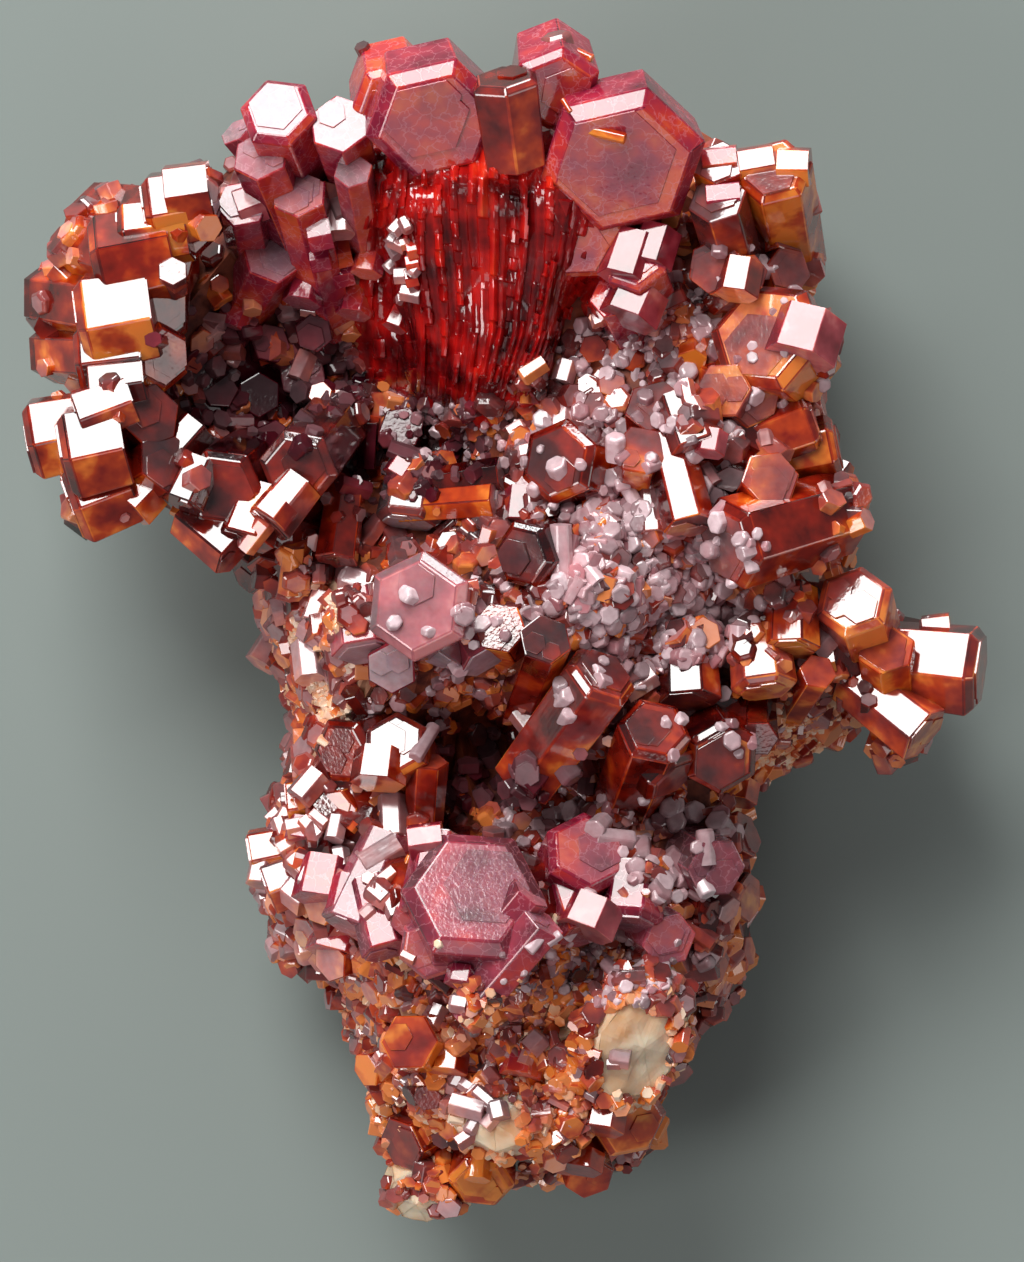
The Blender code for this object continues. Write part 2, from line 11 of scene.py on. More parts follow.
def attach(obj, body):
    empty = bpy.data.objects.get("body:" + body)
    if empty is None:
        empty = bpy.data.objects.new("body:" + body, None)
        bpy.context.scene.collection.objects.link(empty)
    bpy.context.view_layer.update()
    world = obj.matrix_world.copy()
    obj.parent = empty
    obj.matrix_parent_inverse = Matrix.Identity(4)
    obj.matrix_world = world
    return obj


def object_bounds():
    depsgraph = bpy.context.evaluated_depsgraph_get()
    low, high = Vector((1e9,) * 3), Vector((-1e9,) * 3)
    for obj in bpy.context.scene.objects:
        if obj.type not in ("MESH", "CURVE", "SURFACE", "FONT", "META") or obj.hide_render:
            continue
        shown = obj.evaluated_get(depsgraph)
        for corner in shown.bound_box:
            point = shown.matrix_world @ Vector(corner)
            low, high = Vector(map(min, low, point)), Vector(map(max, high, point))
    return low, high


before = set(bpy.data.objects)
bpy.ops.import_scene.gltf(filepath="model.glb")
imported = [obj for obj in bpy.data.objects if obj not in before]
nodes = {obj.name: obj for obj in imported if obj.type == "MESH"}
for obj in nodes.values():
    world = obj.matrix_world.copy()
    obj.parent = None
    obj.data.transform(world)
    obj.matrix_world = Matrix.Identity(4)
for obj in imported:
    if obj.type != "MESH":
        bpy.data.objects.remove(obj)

mm = 0.001
hair = 1e-6  # shorter than any edge, in metres
pixel = 0.05 * mm  # what one pixel of the photograph spans
pictureCentre = (505, 627)
frameShift = (0.083 * mm, -0.096 * mm)  # from the picture's centre to the part's origin
overhead = 60  # millimetres up, clear of every crystal
downwards = Vector((0, 0, -1))
upwards = Vector((0, 0, 1))
seed = random.Random(41)
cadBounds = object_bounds()
boxLow, boxHigh = cadBounds

# The lean and tilt of a face that mirrors the key light into the camera, in degrees
flash = {"lean": 112, "tilt": 22}


def place(across, down, height):
    # A place in the picture, in photograph pixels, at a height in millimetres
    return Vector((
        (across - pictureCentre[0]) * pixel + frameShift[0],
        (pictureCentre[1] - down) * pixel + frameShift[1],
        height * mm,
    ))


def heading(lean, tilt, turn):
    # Tips a crystal over by tilt towards lean, after turning it about its own length
    if tilt is None:
        return lying(lean, turn)
    return (
        Matrix.Rotation(math.radians(lean), 3, "Z")
        @ Matrix.Rotation(math.radians(tilt), 3, "Y")
        @ Matrix.Rotation(math.radians(turn), 3, "Z")
    )


flashFace = heading(flash["lean"], flash["tilt"], 0) @ upwards


def lying(lean, turn):
    # Lays a crystal along lean; without a turn one of its side faces mirrors the key light
    flat = Vector((math.cos(math.radians(lean)), math.sin(math.radians(lean)), 0))
    pointing = (flat - flashFace * flat.dot(flashFace)).normalized()
    axes = Matrix((flashFace, pointing.cross(flashFace), pointing)).transposed()
    return axes @ Matrix.Rotation(math.radians(turn), 3, "Z")


def below(across, down):
    # Where a ray from above first meets the surface, and the way the surface faces there
    spot, normal, _, _ = surface.ray_cast(place(across, down, overhead), downwards)
    return spot, normal


def keepInside(tip, reach):
    # Moves a tip so that reach round it stays in the part's box
    for axis in (0, 1):
        tip[axis] = min(max(tip[axis], boxLow[axis] + reach), boxHigh[axis] - reach)


# Painted light: light that enters a crystal above leaves it by its lower faces, which look more amber, so
# faces turned towards this way get a lighter tone and faces turned away a darker one, painted shade
paintedGlow = {"way": heading(290, 60, 0) @ upwards, "lift": 0.26, "paintedShade": 0.1}


def newHeap():
    # Many crystals that become one piece
    return {"points": [], "faces": [], "tone": [], "bloomAndHighlight": [], "local": [], "count": 0}


def pile(heap, shape, facing, tip, tone, bloomAndHighlight, tipBloomAndHighlight, flicker=0.0):
    # Adds one crystal to a heap. flicker is how far one face's tone differs from the next
    points, faces = shape
    outward = paintedGlow["way"] @ facing
    heap["points"].append(points @ numpy.array(facing).T + numpy.array(tip))
    heap["local"].append(points)
    for face in faces:
        heap["faces"].append([corner + heap["count"] for corner in face])
        flat = points[list(face)]
        onTip = flat[:, 2].min() > points[:, 2].max() - hair
        # Tip faces take tipBloomAndHighlight: pale bloom and a painted highlight together
        heap["bloomAndHighlight"].append(tipBloomAndHighlight if onTip else bloomAndHighlight)
        normal = Vector(flat[1] - flat[0]).cross(Vector(flat[2] - flat[1])).normalized()
        # Painted light and shade: the tone rises as the face turns towards the glow's way and falls as it
        # turns away
        along = normal.dot(outward)
        paintedLight = paintedGlow["lift"] * max(0.0, along) - paintedGlow["paintedShade"] * max(0.0, -along)
        heap["tone"].append(tone + paintedLight + (seed.gauss(0, flicker) if len(face) > 3 else 0))
    heap["count"] += len(points)


def asPiece(heap, name, material):
    mesh = bpy.data.meshes.new(name)
    mesh.from_pydata(numpy.concatenate(heap["points"]).tolist(), [], heap["faces"])
    # The bloom layer holds the pale bloom, and on tip faces a painted highlight as well
    for key in ("tone", "bloomAndHighlight"):
        layer = mesh.attributes.new(key, "FLOAT", "FACE")
        layer.data.foreach_set("value", heap[key])
    layer = mesh.attributes.new("local", "FLOAT_VECTOR", "POINT")
    layer.data.foreach_set("vector", numpy.concatenate(heap["local"]).ravel())
    mesh.materials.append(material)
    piece = bpy.data.objects.new(name, mesh)
    bpy.context.scene.collection.objects.link(piece)
    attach(piece, "root")
    print("made", name, len(mesh.polygons), "faces", flush=True)
    return piece


def prismShape(width, length, edge, segments, chamfer=0, taper=1.0):
    # A six-sided crystal with worn edges, its tip's centre at the origin, as points and faces
    shape = bmesh.new()
    bmesh.ops.create_cone(
        shape, cap_ends=True, segments=6, radius1=width / 2 * taper, radius2=width / 2, depth=length
    )
    bmesh.ops.translate(shape, verts=shape.verts, vec=(0, 0, -length / 2))
    if chamfer:
        cap = max(shape.faces, key=lambda face: face.calc_center_median().z)
        bmesh.ops.bevel(
            shape, geom=list(cap.edges), offset=chamfer, segments=1, affect="EDGES",
            profile=0.5, material=-1,
        )
    edges = [line for line in shape.edges if max(point.co.z for point in line.verts) > hair - length]
    bmesh.ops.bevel(
        shape, geom=edges, offset=edge, segments=segments, affect="EDGES", profile=0.5, material=-1
    )
    shape.verts.ensure_lookup_table()
    points = numpy.array([point.co[:] for point in shape.verts])
    faces = [[point.index for point in face.verts] for face in shape.faces]
    shape.free()
    return points, faces


def surfaceOf(objects):
    # What a ray from any side meets first
    vertices, polygons = [], []
    for thing in objects:
        start = len(vertices)
        vertices += [thing.matrix_world @ point.co for point in thing.data.vertices]
        polygons += [[corner + start for corner in face.vertices] for face in thing.data.polygons]
    return BVHTree.FromPolygons(vertices, polygons)


# The fibrous red curtain that hangs from the crown's plates into the bowl. Its edges are places in the
# picture from top to bottom, its heights are in millimetres
curtain = {
    "left": ((370, 166), (344, 250), (328, 330), (344, 414)),
    "middle": ((484, 148), (487, 240), (488, 330), (470, 438)),
    "right": ((690, 190), (628, 296), (580, 352), (536, 416)),
    "columns": 230, "rows": 150,
    "lift": 0.12, "thick": 1.4, "sunkEdge": 1.2,
    "soften": 3, "softenings": 3,  # how wide and how often its bed is smoothed
    "top": 20.4, "fall": 5.0, "eastFall": 2.6, "eastFrom": 0.68,  # the highest that its bed may be
    "ribs": 34, "ribHeight": 0.42, "sway": 1.4,
    "steps": 15, "stepHeight": 0.26, "stagger": 9,
    "tone": (0.22, 0.85), "rimTone": 0.2, "spine": 0.5, "spineWidth": 0.05,
}


def alongEdge(corners, share):
    # A point of an open line, share of the way from its first corner to its last
    spot = min(share, 0.9999) * (len(corners) - 1)
    number = int(spot)
    here, there = corners[number], corners[number + 1]
    return [here[axis] + (there[axis] - here[axis]) * (spot - number) for axis in (0, 1)]


def chance(rib, step=0):
    # A steady number from 0 to 1 for a rib and one of its steps
    return noise.cell(Vector((rib * 3.7 + 0.5, step * 5.3 + 0.5, 11.5)))


def curtainBed():
    # Where each point of the curtain lies in the picture, and the softened height of what it hangs over
    columns, rows = curtain["columns"], curtain["rows"]
    across, downs, heights = (numpy.zeros((rows, columns)) for _ in range(3))
    for j in range(rows):
        v = j / (rows - 1)
        left, middle, right = [alongEdge(curtain[side], v) for side in ("left", "middle", "right")]
        for i in range(columns):
            u = i / (columns - 1)
            weights = (2 * (u - 0.5) * (u - 1), 4 * u * (1 - u), 2 * u * (u - 0.5))
            across[j, i] = left[0] * weights[0] + middle[0] * weights[1] + right[0] * weights[2]
            downs[j, i] = left[1] * weights[0] + middle[1] * weights[1] + right[1] * weights[2]
            heights[j, i] = below(across[j, i], downs[j, i])[0].z / mm
    reach = curtain["soften"]
    for _ in range(curtain["softenings"]):
        padded = numpy.pad(heights, reach, mode="edge")
        windows = numpy.lib.stride_tricks.sliding_window_view(padded, (2 * reach + 1, 2 * reach + 1))
        heights = (windows.max(axis=(2, 3)) + 2 * windows.mean(axis=(2, 3))) / 3
    u, v = numpy.linspace(0, 1, columns)[None, :], numpy.linspace(0, 1, rows)[:, None]
    beyond = numpy.clip((u - curtain["eastFrom"]) / (1 - curtain["eastFrom"]), 0, 1)
    highest = curtain["top"] - curtain["fall"] * v - curtain["eastFall"] * beyond
    return across, downs, numpy.minimum(heights, highest)


def ribAt(u, v):
    # How far the curtain rises at a point, and its tone there
    rib = u * curtain["ribs"] + noise.noise(Vector((u * 5, v * 2.4, 3.3))) * curtain["sway"]
    number = math.floor(rib)
    crest = 1 - abs(2 * (rib - number) - 1)
    run = v * curtain["steps"] * (0.6 + 0.8 * chance(number)) + curtain["stagger"] * chance(number + 50)
    step = math.floor(run)
    tall = chance(number, step)
    fade = min(1, 8 * u, 4 * (1 - u), 8 * v, 5 * (1 - v))
    rise = curtain["ribHeight"] * (0.35 + 0.65 * crest) * (0.4 + 0.6 * tall)
    rise += curtain["stepHeight"] * (run - step) * (0.5 + tall)
    nearSpine = math.exp(-(((u - curtain["spine"]) / curtain["spineWidth"]) ** 2))
    low, high = curtain["tone"]
    tone = low + (high - low) * (0.3 + 0.4 * crest * tall + 0.3 * nearSpine - 0.4 * v * v)
    return curtain["lift"] + rise * fade - curtain["sunkEdge"] * (1 - fade), tone


def growCurtain(heap):
    # A closed sheet: a front of ribs, a back below it, and a rim that joins them
    columns, rows = curtain["columns"], curtain["rows"]
    across, downs, heights = curtainBed()
    front, faces, tones = [], [], []
    for j in range(rows):
        for i in range(columns):
            rise, tone = ribAt(i / (columns - 1), j / (rows - 1))
            front.append(tuple(place(across[j, i], downs[j, i], heights[j, i] + rise)))
            if j < rows - 1 and i < columns - 1:
                tones += [tone, tone]
    back = [(x, y, z - curtain["thick"] * mm) for x, y, z in front]
    count = len(front)
    for j in range(rows - 1):
        for i in range(columns - 1):
            corner = j * columns + i
            ring = (corner, corner + columns, corner + columns + 1, corner + 1)
            faces.append(list(ring))
            faces.append([count + ring[0], count + ring[3], count + ring[2], count + ring[1]])
    border = list(range(columns)) + [j * columns + columns - 1 for j in range(1, rows)]
    border += [(rows - 1) * columns + i for i in range(columns - 2, -1, -1)]
    border += [j * columns for j in range(rows - 2, 0, -1)]
    for here, there in zip(border, border[1:] + border[:1]):
        faces.append([here, there, count + there, count + here])
        tones.append(curtain["rimTone"])
    points = numpy.array(front + back)
    heap["points"].append(points)
    heap["local"].append(points[:, [0, 2, 1]])
    heap["faces"] += faces
    heap["tone"] += tones
    heap["bloomAndHighlight"] += [0.0] * len(tones)
    heap["count"] += count * 2


# What all large crystals share, in millimetres, and the shares of a crystal's width
largeCrystals = {
    "skin": 0.07, "taper": 0.9, "edge": 0.03, "widestEdge": 0.09, "chamfer": 0.09, "chamferFrom": 3.3,
    "flicker": 0.13, "toneSpread": 0.18, "bloomSpread": (-0.12, 0.04),
    "slender": 4.4, "upright": 42, "deeper": 2.5,  # slender upright crystals go deeper into the rock
    "terraceFrom": 2.2, "terraceWidth": (0.35, 0.85), "terraceRise": (0.04, 0.12), "terraceDepth": 0.5,
    "terraceEdge": 0.02, "terraceOff": 0.8,
    "faceReach": 0.52, "hiddenFoot": 2.2, "overTip": 0.15,  # how a spot on a large crystal is told
}

# The clusters of large crystals, as in the part. Each crystal: name, across and down in the picture and
# height of its tip, width, length, the way it leans, its tilt, where None lies it down, and its turn
# Each cluster's bloom is a pale bloom on every face; its tipBloomAndHighlight whitens the tip faces, pale
# bloom and painted highlight together
clusters = {
    "wing": {
        "material": "vanadinite", "tone": 0.5, "bloomAndHighlight": 0.0, "tipBloomAndHighlight": 0.04,
        "crystals": (
            ("tip", 30, 440, 13.8, 4.4, 3.4, 190, None, 0),
            ("diamond", 68, 455, 16.4, 5.0, 3.1, 190, None, 0),
            ("low diamond", 74, 505, 15.0, 4.6, 3.1, 200, None, 0),
            ("ledge", 82, 418, 17.2, 2.9, 2.8, 200, None, 0),
            ("small ledge", 94, 387, 16.8, 2.5, 2.7, 186, None, 0),
            ("step", 80, 360, 15.6, 3.8, 3.3, 184, None, 0),
            ("block", 84, 325, 16.0, 5.4, 3.7, 188, None, 0),
            ("upper block", 98, 268, 15.8, 5.2, 4.0, 190, None, 26),
            ("shoulder block", 124, 240, 16.2, 3.6, 3.4, 186, None, 20),
            ("peak", 150, 214, 16.4, 4.2, 3.4, 188, None, 0),
            ("red side", 166, 262, 16.2, 4.6, 6.5, 345, 40, 0),
            ("upper side", 192, 226, 16.0, 3.6, 6.0, 350, 34, 20),
            ("wall side", 160, 312, 16.0, 4.2, 6.5, 350, 38, 12),
            ("inner wall", 164, 358, 16.2, 3.6, 7.0, 355, 36, 10),
            ("low wall", 152, 416, 16.6, 3.2, 7.0, 10, 30, 40),
            ("dark rim", 168, 462, 16.6, 3.2, 6.0, 30, 34, 27),
        ),
    },
    "bowlRim": {
        "material": "vanadinite", "tone": 0.28, "bloomAndHighlight": 0.0, "tipBloomAndHighlight": 0.02,
        "crystals": (
            ("west slab", 222, 490, 16.6, 4.2, 7.0, 225, 15, 38),
            ("far chip", 134, 499, 15.6, 2.4, 5.0, 232, None, 0),
            ("chip", 184, 504, 16.8, 2.2, 2.4, 250, None, 0),
            ("bar", 235, 552, 15.6, 2.8, 3.3, 318, None, 0),
            ("slab", 298, 470, 17.0, 4.0, 7.0, 235, 20, 25),
            ("block", 246, 540, 16.2, 3.0, 2.8, 255, None, 0),
            ("east block", 270, 524, 17.0, 2.6, 2.7, 235, None, 0),
            ("pendant", 336, 560, 14.4, 2.2, 4.0, 266, None, 30),
            ("amber", 274, 573, 12.0, 3.0, 5.0, 250, 60, 10),
            ("west amber", 244, 574, 10.8, 2.2, 5.0, 215, 60, 30),
        ),
    },
    "crownWest": {
        "material": "rose", "tone": 0.5, "bloomAndHighlight": 0.04, "tipBloomAndHighlight": 0.25,
        "crystals": (
            ("prism", 279, 114, 18.4, 3.9, 8.0, 112, 25, 28),
            ("twin", 262, 158, 17.0, 2.9, 8.0, 112, 34, 5),
            ("spark", 236, 130, 13.6, 1.8, 5.5, 130, 60, 20),
            ("notch", 341, 128, 18.6, 3.1, 8.0, 108, 23, 20),
            ("low notch", 354, 174, 18.0, 1.9, 7.0, 100, 30, 8),
            ("fluted", 300, 196, 16.0, 2.8, 8.0, 105, 38, 15),
            ("gem", 243, 204, 15.0, 2.6, 7.0, 100, 24, 0),
            ("bowl wall", 270, 256, 12.6, 3.0, 7.0, 60, 34, 10),
        ),
    },
    "crown": {
        "material": "rose", "tone": 0.56, "bloomAndHighlight": 0.0, "tipBloomAndHighlight": 0.0,
        "crystals": (
            ("west plate", 436, 130, 20.4, 7.0, 3.6, 283, 30, 0),
            ("west plate back", 398, 108, 18.6, 4.6, 3.6, 283, 30, 0),
            ("top plate", 556, 96, 19.6, 4.6, 4.0, 278, 30, 15),
            ("east plate", 622, 172, 20.0, 8.6, 3.4, 276, 30, 8),
            ("low east plate", 584, 240, 17.8, 5.0, 3.4, 272, 22, 0),
            ("stepped plate", 634, 262, 18.0, 3.3, 3.0, 118, 26, 10),
            ("low stepped plate", 613, 298, 16.6, 2.3, 2.6, 118, 28, 40),
        ),
    },
    "crownAmber": {
        "material": "vanadinite", "tone": 0.5, "bloomAndHighlight": 0.0, "tipBloomAndHighlight": 0.0,
        "crystals": (
            ("amber block", 504, 84, 20.9, 3.6, 4.6, 98, 66, 30),
        ),
    },
    "shoulder": {
        "material": "vanadinite", "tone": 0.5, "bloomAndHighlight": 0.0, "tipBloomAndHighlight": 0.08,
        "crystals": (
            ("west", 718, 166, 17.8, 2.7, 6.0, 104, 38, 10),
            ("middle", 716, 203, 18.6, 2.9, 7.0, 108, 40, 0),
            ("cap", 772, 172, 18.2, 3.9, 7.0, 104, 30, 0),
            ("east", 802, 196, 15.0, 2.6, 6.5, 40, 54, 20),
            ("red step", 788, 228, 14.6, 2.8, 6.0, 20, 48, 0),
            ("brown", 714, 268, 17.2, 2.8, 6.0, 160, 20, 12),
            ("pale side", 748, 274, 17.4, 1.9, 5.0, 40, 26, 0),
            ("red", 788, 270, 15.2, 2.4, 6.0, 10, 28, 10),
            ("orange", 812, 260, 11.6, 1.8, 5.5, 15, 52, 0),
        ),
    },
    "east": {
        "material": "vanadinite", "tone": 0.52, "bloomAndHighlight": 0.02, "tipBloomAndHighlight": 0.1,
        "crystals": (
            ("slab", 762, 336, 17.8, 6.2, 3.8, 140, 30, 0),
            ("west brown", 722, 392, 18.0, 2.9, 6.0, 150, 20, 0),
            ("east brown", 752, 402, 17.6, 3.3, 6.0, 330, 24, 20),
            ("corner", 812, 420, 15.8, 3.6, 4.2, 20, None, 30),
            ("dotted", 836, 446, 15.0, 3.3, 4.6, 10, None, 20),
            ("lilac", 768, 480, 19.0, 2.9, 6.0, 60, 20, 40),
            ("barrel", 724, 546, 19.8, 4.7, 7.5, 196, 54, 0),
            ("pale plate", 846, 498, 14.4, 3.4, 5.5, 25, 40, 0),
            ("white square", 696, 450, 19.0, 3.0, 2.9, 290, None, 0),
            ("low white square", 688, 526, 19.6, 2.6, 5.0, 285, None, 0),
            ("rust", 640, 452, 19.2, 2.7, 6.0, 80, 24, 0),
            ("brown cap", 655, 408, 17.8, 3.1, 6.0, 95, 34, 10),
        ),
    },
    "centre": {
        "material": "vanadinite", "tone": 0.34, "bloomAndHighlight": 0.0, "tipBloomAndHighlight": 0.04,
        "crystals": (
            ("overgrown", 556, 462, 18.2, 4.3, 7.0, 170, 28, 0),
            ("rose", 522, 556, 19.8, 3.5, 5.5, 190, 34, 10),
            ("red prism", 545, 640, 21.2, 2.6, 6.0, 70, 24, 0),
            ("dark", 500, 628, 20.8, 2.6, 6.0, 120, 15, 20),
            ("great barrel", 602, 674, 19.6, 3.9, 8.0, 54, 54, 30),
            ("amber block", 654, 728, 19.4, 3.7, 6.0, 70, 30, 10),
            ("small block", 689, 700, 16.4, 3.2, 3.8, 275, None, 0),
            ("rotated", 672, 778, 17.6, 3.4, 3.6, 310, None, 14),
            ("rose plate", 722, 758, 17.4, 3.9, 5.0, 300, 22, 0),
            ("dark window", 757, 738, 16.4, 2.0, 5.0, 270, 28, 0),
        ),
    },
    "comb": {
        "material": "vanadinite", "tone": 0.35, "bloomAndHighlight": 0.1, "tipBloomAndHighlight": 0.4,
        "crystals": (
            ("white comb", 408, 522, 13.0, 3.4, 3.4, 264, None, 0),
            ("upper bar", 500, 474, 14.0, 1.7, 5.5, 8, 76, 0),
            ("lower bar", 494, 500, 14.6, 1.8, 5.0, 4, 72, 30),
        ),
    },
    "plateSeat": {
        "material": "plum", "tone": 0.5, "bloomAndHighlight": 0.1, "tipBloomAndHighlight": 0.4,
        "crystals": (
            ("lilac cube", 436, 656, 19.8, 2.8, 3.0, 250, None, 10),
            ("pale cube", 486, 658, 19.8, 2.9, 3.0, 300, None, 0),
            ("white tile", 364, 650, 17.6, 3.2, 3.0, 280, None, 0),
            ("red foot", 392, 668, 18.4, 2.6, 5.0, 240, 24, 0),
        ),
    },
    "lilacPlate": {
        "material": "plum", "tone": 0.38, "bloomAndHighlight": 0.14, "tipBloomAndHighlight": 0.2,
        "crystals": (
            ("plate", 418, 606, 22.2, 5.5, 3.4, 165, 14, 10),
        ),
    },
    "spur": {
        "material": "vanadinite", "tone": 0.68, "bloomAndHighlight": 0.0, "tipBloomAndHighlight": 0.04,
        "crystals": (
            ("barrel", 852, 600, 16.6, 4.0, 7.0, 110, 28, 0),
            ("white cap", 789, 648, 16.6, 3.0, 3.2, 272, None, 0),
            ("white tile", 764, 690, 16.6, 3.3, 3.2, 278, None, 0),
            ("brown cube", 817, 672, 16.6, 1.8, 5.0, 60, 24, 20),
            ("middle", 886, 650, 15.6, 2.9, 6.0, 100, 34, 10),
            ("lath", 924, 734, 14.4, 3.2, 4.9, 318, None, 4),
            ("head", 980, 672, 13.4, 4.8, 4.9, 350, None, 0),
            ("head top", 936, 632, 12.4, 1.9, 5.0, 84, 46, 0),
            ("underside", 868, 716, 9.6, 2.2, 4.5, 285, 58, 0),
        ),
    },
    "caveRim": {
        "material": "vanadinite", "tone": 0.5, "bloomAndHighlight": 0.0, "tipBloomAndHighlight": 0.05,
        "crystals": (
            ("west roof", 342, 752, 15.2, 3.5, 6.0, 200, 32, 10),
            ("roof", 396, 744, 16.6, 3.5, 6.0, 120, 20, 0),
            ("barrel", 428, 762, 16.0, 2.0, 5.0, 86, 66, 0),
            ("amber", 336, 812, 14.4, 2.3, 5.5, 200, 28, 20),
            ("pale", 290, 806, 12.4, 2.8, 3.6, 185, None, 0),
        ),
    },
    "bluff": {
        "material": "rose", "tone": 0.36, "bloomAndHighlight": 0.06, "tipBloomAndHighlight": 0.12,
        "crystals": (
            ("great rose", 474, 888, 22.8, 7.2, 6.0, 86, 20, 0),
            ("strip", 428, 908, 21.4, 2.8, 4.0, 264, None, 0),
            ("low strip", 462, 944, 20.6, 3.0, 3.6, 318, None, 0),
            ("upper bar", 530, 890, 22.8, 2.1, 5.5, 50, 72, 0),
            ("lower bar", 543, 918, 23.0, 2.4, 6.5, 50, 72, 30),
            ("pale bar", 388, 948, 18.4, 2.6, 3.8, 286, None, 0),
            ("west white", 350, 924, 17.0, 3.0, 5.0, 250, None, 0),
            ("orange", 430, 946, 21.2, 3.3, 5.5, 230, 20, 0),
            ("tile", 628, 920, 18.4, 3.4, 2.9, 266, None, 0),
            ("west tile", 588, 930, 18.6, 3.2, 2.9, 290, None, 0),
            ("ridge", 588, 850, 18.8, 4.5, 5.0, 60, 28, 0),
            ("rust", 668, 938, 18.0, 2.8, 5.0, 330, 24, 10),
            ("olive", 716, 868, 15.4, 3.1, 6.0, 330, 28, 0),
        ),
    },
    "westFlank": {
        "material": "vanadinite", "tone": 0.66, "bloomAndHighlight": 0.1, "tipBloomAndHighlight": 0.3,
        "crystals": (
            ("first", 252, 858, 11.0, 2.8, 3.4, 190, None, 0),
            ("second", 268, 890, 12.0, 2.8, 3.4, 200, None, 0),
            ("fourth", 318, 906, 14.4, 2.0, 5.0, 200, 44, 0),
            ("fifth", 304, 936, 11.6, 1.8, 5.0, 205, 54, 10),
            ("sixth", 330, 962, 13.0, 2.2, 5.0, 200, 46, 30),
        ),
    },
    "foot": {
        "material": "vanadinite", "tone": 0.6, "bloomAndHighlight": 0.0, "tipBloomAndHighlight": 0.03,
        "crystals": (
            ("hexagon", 410, 1040, 17.4, 2.9, 5.0, 150, 18, 0),
            ("leaf", 402, 1148, 11.4, 2.9, 5.0, 205, 50, 0),
            ("south", 480, 1188, 12.2, 3.4, 5.5, 264, 40, 0),
            ("dark", 632, 1122, 15.0, 4.1, 6.5, 325, 32, 10),
            ("east tile", 580, 1166, 14.2, 2.6, 3.0, 285, None, 0),
            ("rust", 590, 1180, 12.6, 2.5, 5.0, 290, 38, 0),
            ("west step", 366, 1072, 12.4, 1.8, 5.0, 200, 52, 20),
        ),
    },
    "eastFlank": {
        "material": "vanadinite", "tone": 0.66, "bloomAndHighlight": 0.0, "tipBloomAndHighlight": 0.1,
        "crystals": (
            ("top", 748, 836, 9.8, 2.4, 5.5, 20, 60, 0),
            ("middle", 750, 900, 9.8, 2.5, 5.5, 355, 58, 10),
            ("lower", 716, 968, 11.0, 2.2, 5.5, 340, 52, 0),
            ("last", 688, 1048, 10.0, 2.0, 5.5, 340, 54, 0),
        ),
    },
    "bowlDruse": {
        "material": "dusk", "tone": 0.3, "bloomAndHighlight": 0.0, "tipBloomAndHighlight": 0.04,
        "crystals": (
            ("one", 232, 318, 10.2, 2.2, 4.0, 80, 24, 10),
            ("two", 268, 340, 9.4, 2.0, 4.0, 20, 20, 0),
            ("three", 256, 392, 8.6, 2.2, 4.0, 340, 14, 20),
            ("four", 300, 372, 8.4, 2.4, 4.0, 100, 12, 30),
            ("five", 216, 386, 9.6, 2.0, 4.0, 30, 26, 0),
            ("six", 272, 440, 9.6, 2.2, 4.0, 40, 18, 15),
            ("nine", 312, 330, 9.8, 1.9, 4.0, 250, 18, 0),
            ("ten", 400, 426, 9.6, 2.2, 4.0, 100, 14, 0),
        ),
    },
}

centres, turns, sizes = [], [], []


def growTerraces(heap, top, facing, tip, tone, bloomAndHighlight, howMany):
    # Low flat steps on a crystal's tip
    for _ in range(seed.randint(*howMany)):
        radius = top * seed.uniform(*largeCrystals["terraceWidth"])
        rise = seed.uniform(*largeCrystals["terraceRise"]) * mm
        away = (top - radius) * largeCrystals["terraceOff"]
        angle = seed.uniform(0, math.tau)
        side = Vector((away * math.cos(angle), away * math.sin(angle), rise))
        depth = rise + largeCrystals["terraceDepth"] * mm
        terrace = prismShape(2 * radius, depth, largeCrystals["terraceEdge"] * mm, 1)
        # The steps take the tip's bloom, which includes its painted highlight
        pile(heap, terrace, facing, tip + facing @ side, tone, bloomAndHighlight, bloomAndHighlight)


def growLarge(heap, cluster):
    skin, spread = largeCrystals["skin"] * mm, largeCrystals["toneSpread"]
    for _, across, down, height, width, length, lean, tilt, turn in cluster["crystals"]:
        facing = heading(lean, tilt, turn)
        tip = place(across, down, height) + facing @ Vector((0, 0, skin))
        size = width * mm + 2 * skin
        upright = tilt is not None and tilt < largeCrystals["upright"]
        slender = width < largeCrystals["slender"]
        reach = length * mm + (largeCrystals["deeper"] * mm if upright and slender else 0)
        tone = min(1.0, max(0.0, cluster["tone"] + seed.uniform(-spread, spread)))
        bloomAndHighlight = min(1.0, max(0.0, cluster["bloomAndHighlight"] + seed.uniform(*largeCrystals["bloomSpread"])))
        chamfered = width >= largeCrystals["chamferFrom"]
        chamfer = width * largeCrystals["chamfer"] * mm if chamfered else 0
        edge = min(largeCrystals["edge"] * size, largeCrystals["widestEdge"] * mm)
        shape = prismShape(size, reach, edge, 2, chamfer, largeCrystals["taper"])
        pile(heap, shape, facing, tip, tone, bloomAndHighlight, cluster["tipBloomAndHighlight"], largeCrystals["flicker"])
        howMany = (1, 3) if width > largeCrystals["terraceFrom"] else (0, 1)
        growTerraces(heap, size / 2 - chamfer, facing, tip, tone, cluster["tipBloomAndHighlight"], howMany)
        centres.append(tip)
        turns.append(numpy.array(facing))
        sizes.append((width * mm, reach))


def onLarge(spot):
    # Whether a spot lies on a large crystal's own faces, and not on the crust between them
    away = numpy.array(spot) - largeCentres
    local = numpy.einsum("ij,ijk->ik", away, largeTurns)
    reach = numpy.hypot(local[:, 0], local[:, 1])
    lowest = largeCrystals["hiddenFoot"] * mm - largeSizes[:, 1]
    inside = (reach < largeSizes[:, 0] * largeCrystals["faceReach"]) & (local[:, 2] > lowest)
    return bool((inside & (local[:, 2] < largeCrystals["overTip"] * mm)).any())
